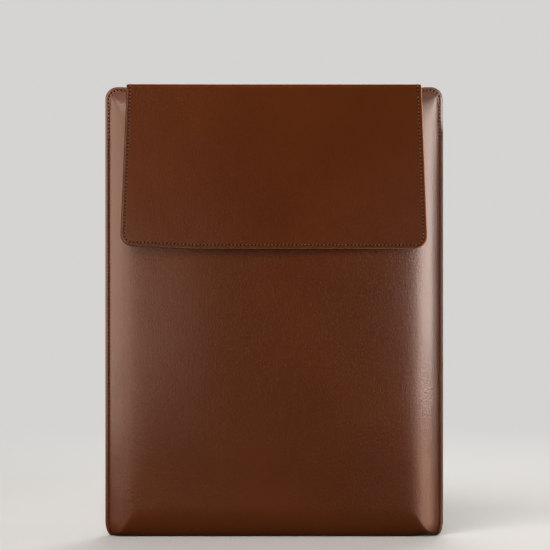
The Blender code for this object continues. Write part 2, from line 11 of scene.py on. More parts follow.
import bpy
import numpy as np
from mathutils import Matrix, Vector

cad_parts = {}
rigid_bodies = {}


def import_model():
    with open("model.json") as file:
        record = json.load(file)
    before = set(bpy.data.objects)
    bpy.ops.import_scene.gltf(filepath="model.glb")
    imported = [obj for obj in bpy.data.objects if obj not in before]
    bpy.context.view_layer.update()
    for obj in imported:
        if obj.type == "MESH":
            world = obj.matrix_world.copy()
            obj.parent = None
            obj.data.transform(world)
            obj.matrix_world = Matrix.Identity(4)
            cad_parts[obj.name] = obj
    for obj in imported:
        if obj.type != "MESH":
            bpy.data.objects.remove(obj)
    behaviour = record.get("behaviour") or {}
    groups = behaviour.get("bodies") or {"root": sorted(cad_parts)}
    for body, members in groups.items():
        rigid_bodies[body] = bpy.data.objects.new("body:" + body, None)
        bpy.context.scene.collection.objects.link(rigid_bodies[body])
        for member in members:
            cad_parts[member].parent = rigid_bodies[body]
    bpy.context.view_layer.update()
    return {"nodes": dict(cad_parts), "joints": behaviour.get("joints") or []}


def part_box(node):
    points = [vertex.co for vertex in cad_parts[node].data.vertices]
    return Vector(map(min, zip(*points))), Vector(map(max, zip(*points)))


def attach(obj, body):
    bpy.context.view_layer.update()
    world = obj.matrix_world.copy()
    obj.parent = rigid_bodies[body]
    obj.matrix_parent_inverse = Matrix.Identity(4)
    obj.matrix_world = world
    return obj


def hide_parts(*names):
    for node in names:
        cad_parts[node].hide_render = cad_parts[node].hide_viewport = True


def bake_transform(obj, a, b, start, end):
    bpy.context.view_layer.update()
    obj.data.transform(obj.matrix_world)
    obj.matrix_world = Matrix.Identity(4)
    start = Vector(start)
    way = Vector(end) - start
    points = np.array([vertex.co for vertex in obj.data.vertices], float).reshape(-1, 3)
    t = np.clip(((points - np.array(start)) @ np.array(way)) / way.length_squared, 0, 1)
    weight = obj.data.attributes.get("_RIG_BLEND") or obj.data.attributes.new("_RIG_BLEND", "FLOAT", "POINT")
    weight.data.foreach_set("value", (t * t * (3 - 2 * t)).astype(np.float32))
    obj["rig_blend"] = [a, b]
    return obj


MM = 0.001
QUARTER = math.pi / 2
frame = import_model()

# --- measures shared with the CAD frame --------------------------------------------------
HALF_WIDTH, HALF_DEPTH, HEIGHT = (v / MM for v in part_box("outer_shell")[1])
joint = {j["name"]: Vector(j["pos_m"]) / MM for j in frame["joints"]}
CAD_RADIUS = 4.0
KEEP = (1 - math.pi / 4) * CAD_RADIUS                       # from a fold joint to the strap's plane
STRAP_BACK = joint["flap_lift"].y + KEEP                    # middle of the leather on the back
STRAP_TOP = joint["flap_lift"].z + KEEP                     # over the mouth
STRAP_FRONT = joint["flap_fold"].y - KEEP                   # and down the front
ANCHOR_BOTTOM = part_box("flap_anchor")[0].z / MM
FLAP_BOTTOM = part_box("flap_leather")[0].z / MM

# --- leather and stitching ---------------------------------------------------------------
LEATHER = 1.3                                               # thickness
HALF_LEATHER = LEATHER / 2
PITCH = 2.7                                                 # nominal stitch pitch
INSET = 2.45                                                # stitch line in from the cut edge
NUDGE = 0.05                                                # step for taking slopes


def smooth_step(x, start, end):
    share = np.clip((np.asarray(x, float) - start) / (end - start), 0, 1)
    return share * share * (3 - 2 * share)


def bump(x, centre, width):
    return np.exp(-(((x - centre) / width) ** 2))


# --- the shell's surface -----------------------------------------------------------------
FLANGE = 2.5                                                # flat margin along the seams
FACE = 2.15                                                 # depth of the flange from y = 0
SWELL, POWER = 33.0, 4.0                                    # width and sharpness of the rise
BLOCK, CORNER = 36.0, 9.0                                   # top corner: grid block, radius
SEALED, SLOPE = 19.0, 2.2                                   # mouth: sewn end, opening slope
DROP, DIP = 2.0, 0.9                                        # mouth: lower edge, thinner lip
SOFT = 2.6                                                  # power that blends side and mouth
# Places down one face. Below FACE_END each row group has a length of 1 instead of millimetres.
LOW = 28.0                                                  # z where the bottom rows begin
FACE_END = HEIGHT - LOW
SIDE_END = FACE_END + 1                                     # the turn to the underside begins
TURN_END = FACE_END + 2                                     # and ends
BOTTOM_MID = FACE_END + 3                                   # middle of the underside

CORNER_START = HEIGHT - BLOCK
SEAM_LOW = 5.0                                              # z of the seam's lower end
SEAM_RADIUS = CORNER - INSET
SEAM_SIDE = CORNER_START - SEAM_LOW                         # stitch line: up the side,
SEAM_RING = 2 * (BLOCK - CORNER) + QUARTER * SEAM_RADIUS    # and round the corner block
SEAM_LENGTH = SEAM_SIDE + SEAM_RING + HALF_WIDTH - BLOCK
SEAM_COUNT = round(SEAM_LENGTH / PITCH)
SEAM_PITCH = SEAM_LENGTH / SEAM_COUNT


def swell(inward):
    """Depth of a face at a distance in from the cut edge."""
    share = np.clip((inward - FLANGE) / SWELL, 0, 1)
    rise = 1 - (1 - share) ** POWER
    ease = smooth_step(inward, FLANGE - 0.3, FLANGE + 1.2)
    return FACE + (HALF_DEPTH - FACE) * rise * (0.3 + 0.7 * ease)


def fullness(depth):
    return (depth - FACE) / (HALF_DEPTH - FACE)


def round_corner(side, top):
    """Bend the square grid of a top corner into rounded rings.

    Returns the new distances from the side and the top, and the share of the way round the ring
    (-1 outside the corner block).
    """
    from_side, from_top = BLOCK - side, BLOCK - top
    inside = (from_side > 0) & (from_top > 0)
    ring = np.where(inside, np.maximum(from_side, from_top), 1.0)
    inward = BLOCK - ring
    radius = np.where(inward < FLANGE, CORNER - inward, CORNER - FLANGE + (inward - FLANGE) * 0.5)
    radius = np.minimum(radius, ring)
    share = np.where(from_side >= from_top, 0.5 * from_top / ring, 1 - 0.5 * from_side / ring)
    straight, arc = ring - radius, QUARTER * radius
    run = share * (2 * straight + arc)
    turn = np.clip((run - straight) / radius, 0, QUARTER)
    parts = [run <= straight, run <= straight + arc]
    bent_side = np.select(parts, [ring, straight + radius * np.cos(turn)], 2 * straight + arc - run)
    bent_top = np.select(parts, [run, straight + radius * np.sin(turn)], ring)
    return (np.where(inside, BLOCK - bent_side, side),
            np.where(inside, BLOCK - bent_top, top),
            np.where(inside, share, -1.0))


def face_depth(side, down):
    """Depth of a face: a pillow that is sewn flat at the sides and stands open at the mouth."""
    past = side - SEALED
    mouth = down + (0.5 * (past + np.sqrt(past * past + 16)) - 0.47) * SLOPE
    from_side = np.maximum(side - FLANGE, 1e-6)
    from_mouth = np.maximum(mouth - FLANGE, 1e-6) * (0.68 + 0.32 * smooth_step(side, 14, 30))
    pillow = (from_side**-SOFT + from_mouth**-SOFT) ** (-1 / SOFT)
    ring = CORNER - FLANGE
    rounded = (ring - np.hypot(np.maximum(ring - from_side, 0), np.maximum(ring - from_mouth, 0))
               + np.maximum(np.minimum(from_side, from_mouth) - ring, 0))
    # a smooth minimum of the two, softest in the corner
    blend = 0.02 + 1.6 * (1 - smooth_step(np.maximum(from_side, from_mouth), 5, 12))
    near = np.maximum(blend - np.abs(pillow - rounded), 0) / blend
    least = np.minimum(pillow, rounded) - near * near * blend / 4
    depth = swell(FLANGE + np.maximum(least, 0))
    return depth - DIP * fullness(depth) * (1 - smooth_step(down, 3.0, 9.0))


def ear_shift(side, z):
    """How far the lowest part of the side seam is rounded inwards."""
    height, most = 11.0, 5.0
    reach = np.clip((height - np.maximum(z, 0)) / height, 0, 1)
    rounding = 1 - np.sqrt(np.maximum(1 - reach**2, 0))
    return most * rounding * np.maximum(1 - side / BLOCK, 0) ** 2


def seam_place(across, down):
    """(length along the stitch line from its lower end, distance in from the cut edge)."""
    side = HALF_WIDTH - np.abs(across)
    z = np.where(down <= FACE_END, HEIGHT - down, LOW - (down - FACE_END) * (LOW - 3.0))
    run = np.where(down >= BLOCK, z - SEAM_LOW, 0.0)
    _, _, share = round_corner(side, down)
    run = np.where(share >= 0, SEAM_SIDE + share * SEAM_RING, run)
    run = np.where((side >= BLOCK) & (down < side), SEAM_SIDE + SEAM_RING + side - BLOCK, run)
    return run, np.minimum(side, down)


def near_corner(run):
    """0 along the side seam, 1 from the top corner on."""
    return smooth_step(run, CORNER_START - 22, CORNER_START + 2)


HELD = 4.5                                                  # the cloth is held this far in
CLOTH_ACROSS = np.linspace(-HALF_WIDTH + HELD, HALF_WIDTH - HELD, 49)
CLOTH_DOWN = np.linspace(HELD, FACE_END, 61)
blown = {}                                                  # by back: the simulated billow, mm


def cubic_weights(t):
    return ((1 - t) ** 3 / 6, (3 * t**3 - 6 * t**2 + 4) / 6,
            (-3 * t**3 + 3 * t**2 + 3 * t + 1) / 6, t**3 / 6)


def cloth_cell(value, stations):
    """Cell of the cloth grid that a place falls in, and the place within it."""
    place = (np.clip(value, stations[0], stations[-1]) - stations[0]) / (stations[1] - stations[0])
    cell = np.floor(place).astype(int)
    return cell, place - cell


def billow(across, down, back):
    """How far a face stands out after the cloth simulation."""
    field = blown.get(back)
    if field is None:
        return np.zeros(np.broadcast(across, down).shape)
    row, in_row = cloth_cell(down, CLOTH_DOWN)
    col, in_col = cloth_cell(across, CLOTH_ACROSS)
    total = 0.0
    for j, row_weight in enumerate(cubic_weights(in_row)):
        for i, col_weight in enumerate(cubic_weights(in_col)):
            at_row = np.clip(row + j - 1, 0, len(CLOTH_DOWN) - 1)
            at_col = np.clip(col + i - 1, 0, len(CLOTH_ACROSS) - 1)
            total = total + row_weight * col_weight * field[at_row, at_col]
    return total


def shell(across, down, back=False, detail=1.0):
    """Points of the shell's outer face.

    across runs from side to side and down from the mouth to the middle of the bottom. detail
    scales the relief of the stitch line and the waves.
    """
    across, down = np.asarray(across, float), np.asarray(down, float)
    side = HALF_WIDTH - np.abs(across)
    in_by, top, _ = round_corner(side, down)
    depth = face_depth(in_by, np.minimum(top, FACE_END))
    drop = DROP * smooth_step(side, 12.5, 19.5) * (1 - smooth_step(down, 0, 40))
    # the bottom rows: down to the turn, round it, and along the underside
    low = down > FACE_END
    parts = [down <= SIDE_END, down <= TURN_END]
    full = fullness(swell(side))
    flat = 0.8 + 4.2 * full
    rise = 3.0 + 20.5 * full**8
    turn = np.clip(down - SIDE_END, 0, 1) * QUARTER
    z_low = np.select(parts, [LOW + (rise - LOW) * (down - FACE_END), rise * (1 - np.sin(turn))], 0.0)
    depth_low = np.select(parts, [depth, flat + (depth - flat) * np.cos(turn)],
                          flat * (BOTTOM_MID - down))
    # the stitches pull the flange in, and the face stands in a soft welt beside them
    run, inward = seam_place(across, np.minimum(down, SIDE_END))
    cornered = 1 - 0.6 * smooth_step(run, CORNER_START - 12, CORNER_START + 6)
    roll = 0.85 - 0.75 * smooth_step(across, 60, 100) * smooth_step(down, 20, 34)
    groove = (bump(inward, INSET, 0.36) * 0.72 * cornered
              + roll * (1 - np.clip(inward / 1.9, 0, 1)) ** 1.6)
    pucker = np.cos(2 * math.pi * run / SEAM_PITCH) * bump(inward, INSET + 1.4, 1.0) * 0.035
    relief = (groove + pucker) * detail
    depth = depth - relief
    depth_low = depth_low - relief * (1 - smooth_step(down, SIDE_END, TURN_END))
    # long, shallow waves in the stretched leather, none at the seams
    still = smooth_step(inward, 5, 24)
    phase = 0.7 + (1.3 if back else 0)
    wave = (0.10 * np.sin(across / 23 + phase) * np.sin(down / 41 + 0.4)
            + 0.07 * np.sin(across / 11 - down / 67 + 2.1)
            + 0.05 * np.sin(down / 17 + across / 39 + 4.0))
    pull = 0.10 * np.sin(down / 9.5 + 0.6 * np.sign(across)) * bump(inward, 11, 6)
    depth = depth + billow(across, down, back)
    fade = 1 - smooth_step(down, FACE_END - 30, FACE_END)
    depth = depth + (wave * still + pull) * detail * fade
    depth = np.where(low, depth_low, depth)
    # the bottom lifts a little beside each lower corner
    under = smooth_step(down, FACE_END, TURN_END)
    z_low = z_low + (0.6 if back else 1.5) * bump(across, 112, 8) * under * (across > 0)
    z_low = z_low + 0.5 * bump(across, -112, 8) * under
    z = np.where(low, z_low, HEIGHT - top - drop)
    in_by = np.where(low, side, in_by)
    in_by = in_by + ear_shift(side, z)
    x = np.sign(across) * (HALF_WIDTH - in_by)
    return np.stack([x, depth if back else -depth, z], -1)


# --- mesh making -------------------------------------------------------------------------
def unit(vectors):
    return vectors / np.maximum(np.linalg.norm(vectors, axis=-1, keepdims=True), 1e-9)


def facing(back):
    """Sign of y that a face looks towards."""
    return 1.0 if back else -1.0


def grid_normals(grid, row, back):
    """Unit normals of a grid, all turned so that the middle of one row looks outwards."""
    normal = unit(np.cross(np.gradient(grid, axis=0), np.gradient(grid, axis=1)))
    return normal * np.sign(normal[row, grid.shape[1] // 2, 1] * facing(back))


def face_normals(first, second, back):
    """Unit normals from two slopes, each turned outwards."""
    normal = unit(np.cross(first, second))
    return normal * np.where(np.sign(normal[..., 1]) == facing(back), 1, -1)[..., None]


def loop_indices(ny, nx):
    """(row, column) round the edge of a grid."""
    loop = [(0, i) for i in range(nx)]
    loop += [(j, nx - 1) for j in range(1, ny)]
    loop += [(ny - 1, i) for i in range(nx - 2, -1, -1)]
    loop += [(j, 0) for j in range(ny - 2, 0, -1)]
    return loop


def grid_corners(ids):
    return ids[:-1, :-1], ids[:-1, 1:], ids[1:, 1:], ids[1:, :-1]


def add_attribute(mesh, name, values):
    values = np.asarray(values, np.float32)
    if values.ndim == 2:
        layer = mesh.attributes.new(name, "FLOAT_VECTOR", "POINT")
        layer.data.foreach_set("vector", values.ravel())
    else:
        mesh.attributes.new(name, "FLOAT", "POINT").data.foreach_set("value", values)


def make_object(name, verts, faces, attributes=None, smooth_angle=None):
    mesh = bpy.data.meshes.new(name)
    faces = faces.tolist() if isinstance(faces, np.ndarray) else faces
    mesh.from_pydata((np.asarray(verts) * MM).tolist(), [], faces)
    mesh.update()
    for key, values in (attributes or {}).items():
        add_attribute(mesh, key, values)
    mesh.shade_smooth()
    if smooth_angle:
        mesh.set_sharp_from_angle(angle=math.radians(smooth_angle))
    obj = bpy.data.objects.new(name, mesh)
    bpy.context.scene.collection.objects.link(obj)
    return obj


def sheet(name, outer, inner, fields, bead, steps, open_row=None):
    """A closed sheet from an outer and an inner grid, its cut edge rounded by a bead.

    fields are attributes per grid point. The edge at open_row (0 or -1) is left straight, for a
    joint with another length.
    """
    ny, nx = outer.shape[:2]
    size = ny * nx
    ids = np.arange(size).reshape(ny, nx)
    a, b, c, d = grid_corners(ids)
    front = np.stack([a, d, c, b], -1).reshape(-1, 4)
    behind = np.stack([a, b, c, d], -1).reshape(-1, 4) + size

    rows, cols = np.array(loop_indices(ny, nx)).T
    count = len(rows)
    edge = outer[rows, cols]
    thick = inner[rows, cols] - edge
    out = unit(np.cross(np.roll(edge, -1, 0) - np.roll(edge, 1, 0), thick))
    inwards = outer[np.clip(rows, 1, ny - 2), np.clip(cols, 1, nx - 2)] - edge
    sign = np.sign(-(out * inwards).sum(1))
    out *= np.where(sign == 0, 1, sign)[:, None]
    if open_row is not None:
        out[rows == open_row % ny] = 0.0
    verts = [outer.reshape(-1, 3), inner.reshape(-1, 3)]
    for k in range(1, steps + 1):
        share = k / (steps + 1)
        rise = bead * math.sqrt(1 - (2 * share - 1) ** 2)
        verts.append(edge + thick * share + out * rise)

    rings = [ids[rows, cols]]
    rings += [2 * size + k * count + np.arange(count) for k in range(steps)]
    rings += [ids[rows, cols] + size]
    rim = [np.stack([near, far, np.roll(far, -1), np.roll(near, -1)], -1)
           for near, far in zip(rings[:-1], rings[1:])]
    faces = np.concatenate([front, behind] + rim)
    # the outer grid's faces must look away from the inner grid
    j, i = ny // 2, nx // 2
    middle = outer[j, i]
    normal = np.cross(outer[j + 1, i] - middle, outer[j, i + 1] - middle)
    if (normal * (middle - inner[j, i])).sum() < 0:
        faces = faces[:, ::-1]

    attributes = {}
    for key, values in fields.items():
        flat = values.reshape(size, *values.shape[2:])
        attributes[key] = np.concatenate([flat, flat] + [values[rows, cols]] * steps)
    zeros, ones = np.zeros(size), np.ones(size)
    attributes["rim"] = np.concatenate([zeros, zeros, np.ones(count * steps)])
    attributes["inside"] = np.concatenate([zeros, ones, np.full(count * steps, 0.5)])
    return make_object(name, np.concatenate(verts), faces, attributes)


THREAD_RADIUS = 0.27
STITCH_GAP = 1.0                                            # leather between two stitches
SLANT = 0.10                                                # each end's shift across the line
THREAD_SIDES, THREAD_RINGS = 7, 8


def stitches(name, runs, grow=lambda run: 1.0):
    """Short lengths of thread that dive into the leather at both ends.

    Each run is (function giving points and normals, first length, count, pitch).
    """
    sides, rings = THREAD_SIDES, THREAD_RINGS
    share = np.linspace(0, 1, rings)
    angle = np.linspace(0, 2 * math.pi, sides, endpoint=False)
    arch = -0.75 + 1.35 * np.sin(math.pi * share) ** 0.6
    body = 0.72 + 0.28 * np.sin(math.pi * share)
    quads = np.array([(r * sides + k, r * sides + (k + 1) % sides,
                       (r + 1) * sides + (k + 1) % sides, (r + 1) * sides + k)
                      for r in range(rings - 1) for k in range(sides)])
    caps = [range(sides)[::-1], range((rings - 1) * sides, rings * sides)]
    verts, twist, quad_faces, cap_faces = [], [], [], []
    base = 0
    for place, first, count, pitch in runs:
        for k in range(count):
            run = first + k * pitch + STITCH_GAP / 2 + (pitch - STITCH_GAP) * share
            wobble = 0.04 * math.sin(k * 12.9898 + first)
            size = THREAD_RADIUS * float(grow(first + (k + 0.5) * pitch))
            lift, thick = size * arch, size * body
            pos, normal = place(run)
            ahead, _ = place(run + NUDGE)
            across = np.cross(normal, unit(ahead - pos))
            shift = (share - 0.5) * 2 * SLANT + wobble
            centre = pos + normal * lift[:, None] + across * shift[:, None]
            spoke = (np.cos(angle)[None, :, None] * across[:, None, :]
                     + np.sin(angle)[None, :, None] * normal[:, None, :])
            verts.append((centre[:, None, :] + thick[:, None, None] * spoke).reshape(-1, 3))
            # twist holds the length along, the turn about the thread and a number per stitch
            turn = np.stack([np.broadcast_to((run - run[0])[:, None], (rings, sides)),
                             np.broadcast_to(angle[None, :] / (2 * math.pi), (rings, sides)),
                             np.full((rings, sides), float(k % 7))], -1)
            twist.append(turn.reshape(-1, 3))
            quad_faces.append(quads + base)
            cap_faces += [[i + base for i in cap] for cap in caps]
            base += rings * sides
    faces = np.concatenate(quad_faces).tolist() + cap_faces
    verts = np.concatenate(verts)
    obj = make_object(name, verts, faces, {"twist": np.concatenate(twist)})
    polygon = obj.data.polygons[0]
    centre = np.mean(verts[: rings * sides], 0) * MM
    if (Vector(centre) - polygon.center).dot(polygon.normal) > 0:
        obj.data.flip_normals()
    return obj


# --- cloth simulation of the shell's faces -----------------------------------------------
CLOTH_FRAMES = 20
BILLOW_CAP = 1.0                                            # most that a face may stand out


def blow_out():
    """Both faces as coarse cloth, held along their edges and pushed out by the padding.

    Only the movement in depth is kept, and it is capped. It is lessened where the flap covers
    the front.
    """
    across, down = np.meshgrid(CLOTH_ACROSS, CLOTH_DOWN)
    ny, nx = across.shape
    size = ny * nx
    quads = np.stack(grid_corners(np.arange(size).reshape(ny, nx)), -1).reshape(-1, 4)
    rest = np.concatenate([shell(across, down, back, 0.0).reshape(-1, 3) for back in (False, True)])
    obj = make_object("cloth", rest, np.concatenate([quads[:, ::-1], quads + size]))
    edge = [j * nx + i for j, i in loop_indices(ny, nx)]
    held = obj.vertex_groups.new(name="held")
    held.add(edge + [k + size for k in edge], 1.0, "REPLACE")
    modifier = obj.modifiers.new("cloth", "CLOTH")
    modifier.point_cache.frame_start = 1
    modifier.point_cache.frame_end = CLOTH_FRAMES
    modifier.collision_settings.use_collision = False
    settings = {
        "quality": 6, "mass": 0.3, "air_damping": 1.0,
        "tension_stiffness": 40.0, "compression_stiffness": 40.0,
        "shear_stiffness": 12.0, "bending_stiffness": 2.0,
        "use_pressure": True, "uniform_pressure_force": 4.0,
        "vertex_group_mass": "held",
    }
    for key, value in settings.items():
        setattr(modifier.settings, key, value)
    modifier.settings.effector_weights.gravity = 0.0
    scene = bpy.context.scene
    scene.frame_start = 1
    scene.frame_end = CLOTH_FRAMES
    for k in range(1, CLOTH_FRAMES + 1):
        scene.frame_set(k)
    mesh = obj.evaluated_get(bpy.context.evaluated_depsgraph_get()).to_mesh()
    now = np.empty(len(rest) * 3)
    mesh.vertices.foreach_get("co", now)
    moved = (now.reshape(2, ny, nx, 3) / MM - rest.reshape(2, ny, nx, 3))[..., 1]
    scene.frame_set(1)
    bpy.data.objects.remove(obj)
    front, behind = -moved[0], moved[1]
    under_flap = 1 - 0.6 * (1 - smooth_step(down, 90, 140))
    ease = smooth_step(FACE_END - down, 0, 40)
    return {False: front * min(1, BILLOW_CAP / front.max()) * under_flap * ease,
            True: behind * min(1, BILLOW_CAP / behind.max()) * ease}


blown.update(blow_out())


# --- materials ---------------------------------------------------------------------------
class Nodes:
    """A material in the making. Most methods add a node and return the output it is used for."""

    def __init__(self, name):
        self.material = bpy.data.materials.new(name)
        self.material.use_nodes = True
        self.tree = self.material.node_tree
        self.shader = self.tree.nodes["Principled BSDF"]

    def node(self, kind, inputs=None, **settings):
        node = self.tree.nodes.new(kind)
        for key, value in settings.items():
            setattr(node, key, value)
        for key, value in (inputs or {}).items():
            self.put(node.inputs[key], value)
        return node

    def put(self, socket, value):
        if isinstance(value, bpy.types.NodeSocket):
            self.tree.links.new(value, socket)
        else:
            socket.default_value = value

    def math(self, operation, first, second=0.0):
        inputs = {0: first, 1: second, 2: 0.0}
        return self.node("ShaderNodeMath", inputs, operation=operation).outputs[0]

    def mul(self, first, second):
        return self.math("MULTIPLY", first, second)

    def add(self, first, second, times=None):
        """first + second * times"""
        return self.math("ADD", first, second if times is None else self.mul(second, times))

    def sub(self, first, second, times=None):
        """first - second * times"""
        return self.math("SUBTRACT", first, second if times is None else self.mul(second, times))

    def lessen(self, value, mask, amount):
        return self.mul(value, self.sub(1.0, mask, times=amount))

    def mix(self, first, second, share):
        node = self.node("ShaderNodeMix", data_type="RGBA")
        self.put(node.inputs["Factor"], share)
        for key, colour in ((6, first), (7, second)):
            is_socket = isinstance(colour, bpy.types.NodeSocket)
            self.put(node.inputs[key], colour if is_socket else (*colour, 1))
        return node.outputs[2]

    def tint(self, colour, other, mask, amount):
        return self.mix(colour, other, self.mul(mask, amount))

    def noise(self, vector, scale, detail=3.0, rough=0.55):
        inputs = {"Vector": vector, "Scale": scale, "Detail": detail, "Roughness": rough}
        return self.node("ShaderNodeTexNoise", inputs).outputs[0]

    def voronoi(self, vector, scale, feature="F1"):
        inputs = {"Vector": vector, "Scale": scale}
        return self.node("ShaderNodeTexVoronoi", inputs, feature=feature).outputs["Distance"]

    def step(self, value, start, end, low=0.0, high=1.0):
        """A smooth step from low at start to high at end."""
        inputs = {"Value": value, "From Min": start, "From Max": end, "To Min": low, "To Max": high}
        return self.node("ShaderNodeMapRange", inputs, interpolation_type="SMOOTHSTEP").outputs[0]

    def fall(self, value, start, end):
        return self.step(value, start, end, low=1.0, high=0.0)

    def attribute(self, name, output="Fac"):
        return self.node("ShaderNodeAttribute", attribute_name=name).outputs[output]

    def stretch(self, vector, scale, **more):
        inputs = {"Vector": vector, "Scale": scale, **more}
        return self.node("ShaderNodeMapping", inputs).outputs[0]

    def split(self, vector):
        return self.node("ShaderNodeSeparateXYZ", {"Vector": vector}).outputs

    def bump(self, height, distance, strength, normal=None):
        inputs = {"Height": height, "Distance": distance, "Strength": strength}
        node = self.node("ShaderNodeBump", inputs)
        if normal is not None:
            self.put(node.inputs["Normal"], normal)
        return node.outputs[0]

    def set(self, **values):
        for key, value in values.items():
            self.put(self.shader.inputs[key.replace("_", " ")], value)
        return self.material


def leather_material(name):
    """Smooth, finely grained, semi-gloss aniline leather.

    Reads pos (mm, laid flat), the stitch line (st_u in pitches along, st_d mm in from the edge,
    st_w how strongly its painted shade shows), rim and inside.
    """
    mat = Nodes(name)
    pos = mat.attribute("pos", "Vector")
    base, dark, warm = (0.100, 0.0212, 0.0035), (0.076, 0.0152, 0.0024), (0.118, 0.0275, 0.0050)
    cloud = mat.noise(pos, scale=0.011, detail=3.0, rough=0.5)
    mottle = mat.noise(pos, scale=0.085, detail=4.0, rough=0.6)
    fine = mat.noise(pos, scale=0.9, detail=3.0, rough=0.6)
    colour = mat.mix(dark, warm, mat.step(cloud, 0.30, 0.70))
    colour = mat.mix(colour, base, share=0.65)
    colour = mat.tint(colour, dark, mat.step(mottle, 0.42, 0.78), amount=0.16)
    colour = mat.tint(colour, warm, mat.step(fine, 0.55, 0.75), amount=0.22)

    # grain: rounded cells between fine creases, with hair pores
    warp = mat.node("ShaderNodeVectorMath", {0: pos}, operation="ADD")
    wander = mat.node("ShaderNodeTexNoise", {"Vector": pos, "Scale": 0.45, "Detail": 2.0})
    shift = mat.node("ShaderNodeVectorMath", {0: wander.outputs["Color"], 1: (1.6, 1.6, 1.6)},
                     operation="MULTIPLY")
    mat.put(warp.inputs[1], shift.outputs[0])
    cells = mat.voronoi(warp.outputs[0], scale=1.25, feature="SMOOTH_F1")
    creases = mat.voronoi(warp.outputs[0], scale=0.62, feature="DISTANCE_TO_EDGE")
    crease = mat.step(creases, 0.0, 0.16)
    pores = mat.step(mat.voronoi(pos, scale=0.75), 0.05, 0.14)
    height = mat.add(mat.mul(cells, -0.55), crease, times=0.35)
    height = mat.add(height, mat.noise(pos, scale=3.1, detail=2.0), times=0.30)
    height = mat.add(height, pores, times=0.12)
    colour = mat.tint(colour, dark, mat.sub(1.0, crease), amount=0.10)

    roughness = mat.add(0.135, mat.noise(pos, scale=0.05), times=0.05)
    roughness = mat.add(roughness, mat.noise(pos, scale=1.4, detail=2.0), times=0.05)
    streaks = mat.noise(mat.stretch(pos, (1.0, 0.07, 1.0)), scale=0.62, detail=4.0, rough=0.6)
    figure = mat.noise(pos, scale=0.40)
    roughness = mat.add(roughness, mat.sub(streaks, 0.5), times=0.07)
    relief = mat.add(figure, streaks, times=0.7)
    normal = mat.bump(relief, distance=0.00012, strength=0.45)
    normal = mat.bump(height, distance=0.00018, strength=0.42, normal=normal)
    gloss = mat.add(0.8, 0.0)

    # needle holes and the stitch line's groove, both darkened as painted shade
    seam, inward = mat.attribute("st_u"), mat.attribute("st_d")
    phase = mat.math("ABSOLUTE", mat.sub(mat.math("FRACT", mat.add(seam, 0.5)), 0.5))
    along = mat.mul(phase, PITCH)
    off_line = mat.sub(inward, INSET)
    squares = mat.add(mat.mul(along, along), mat.mul(off_line, off_line), times=0.8)
    radius = mat.math("SQRT", squares)
    shown = mat.attribute("st_w")
    hole = mat.mul(mat.fall(radius, 0.44, 0.72), shown)
    line = mat.fall(mat.math("ABSOLUTE", off_line), 0.16, 0.55)
    # painted shade in the stitch groove, strongest along the sides
    painted_groove_shade = (dark[0] * 0.45, dark[1] * 0.4, dark[2] * 0.4)
    colour = mat.mix(colour, painted_groove_shade, mat.mul(line, mat.sub(1.05, shown, times=0.43)))
    roughness = mat.add(roughness, line, times=0.12)
    # painted shade: the needle holes are coloured near-black
    colour = mat.tint(colour, (0.012, 0.0040, 0.0015), hole, amount=0.92)
    roughness = mat.add(roughness, hole, times=0.25)
    gloss = mat.lessen(gloss, line, amount=0.55)
    gloss = mat.lessen(gloss, hole, amount=0.85)
    normal = mat.bump(mat.sub(1.0, hole), distance=0.00035, strength=0.9, normal=normal)
    # handling darkens and polishes the margin
    margin = mat.fall(inward, 0.2, 2.0)
    colour = mat.tint(colour, dark, margin, amount=0.30)
    roughness = mat.sub(roughness, margin, times=0.05)

    # the flesh side
    rim, inside = mat.attribute("rim"), mat.attribute("inside")
    grain = mat.noise(pos, scale=0.8, detail=4.0)
    flesh = mat.mix((0.20, 0.115, 0.060), (0.15, 0.080, 0.040), grain)
    colour = mat.mix(colour, flesh, mat.step(inside, 0.62, 0.9))
    roughness = mat.add(roughness, mat.step(inside, 0.62, 0.9, low=0.0, high=0.35))

    # edge paint, with a ragged border; at the -X side it is darkened as painted shade
    patches = mat.step(mat.noise(pos, scale=0.28, detail=4.0, rough=0.65), 0.35, 0.68)
    edge_paint_and_shade = mat.mix((0.36, 0.135, 0.050), (0.25, 0.085, 0.030), patches)
    painted = mat.step(rim, 0.02, 0.25)
    ragged = mat.add(inward, mat.noise(pos, scale=0.35, detail=2.0), times=0.25)
    border = mat.mul(mat.fall(ragged, 0.20, 0.44), mat.fall(inside, 0.6, 0.9))
    painted = mat.math("MAXIMUM", painted, border)
    # painted shade: the edge paint is darkened towards the -X side
    edge_paint_and_shade = mat.tint(edge_paint_and_shade, dark, mat.fall(mat.split(pos)[0], -112.0, -92.0), amount=0.92)
    gloss = mat.lessen(gloss, painted, amount=0.6)
    colour = mat.mix(colour, edge_paint_and_shade, painted)
    roughness = mat.add(roughness, painted, times=0.20)
    return mat.set(Base_Color=colour, Roughness=roughness, Normal=normal,
                   Specular_IOR_Level=gloss, Specular_Tint=(1.0, 0.90, 0.80, 1))


def thread_material(name, painted_light_tone):
    """Twisted thread; a tone scales its brightness, above 1 as painted light and below 1 as painted shade.
    """
    mat = Nodes(name)
    twist = mat.attribute("twist", "Vector")
    along, turn, _ = mat.split(twist)
    turns = mat.add(mat.mul(along, 1.15), turn, times=2.0)
    strand = mat.step(mat.math("SINE", mat.mul(turns, 2 * math.pi)), -0.9, 0.6)
    lint = mat.noise(twist, scale=9.0)
    light, dark, fluff = (tuple(v * painted_light_tone for v in colour) for colour in
                          ((0.330, 0.170, 0.095), (0.170, 0.070, 0.034), (0.36, 0.19, 0.11)))
    colour = mat.mix(dark, light, strand)
    colour = mat.tint(colour, fluff, lint, amount=0.3)
    normal = mat.bump(strand, distance=0.00010, strength=0.8)
    return mat.set(Base_Color=colour, Roughness=mat.add(0.5, lint, times=0.15), Normal=normal)


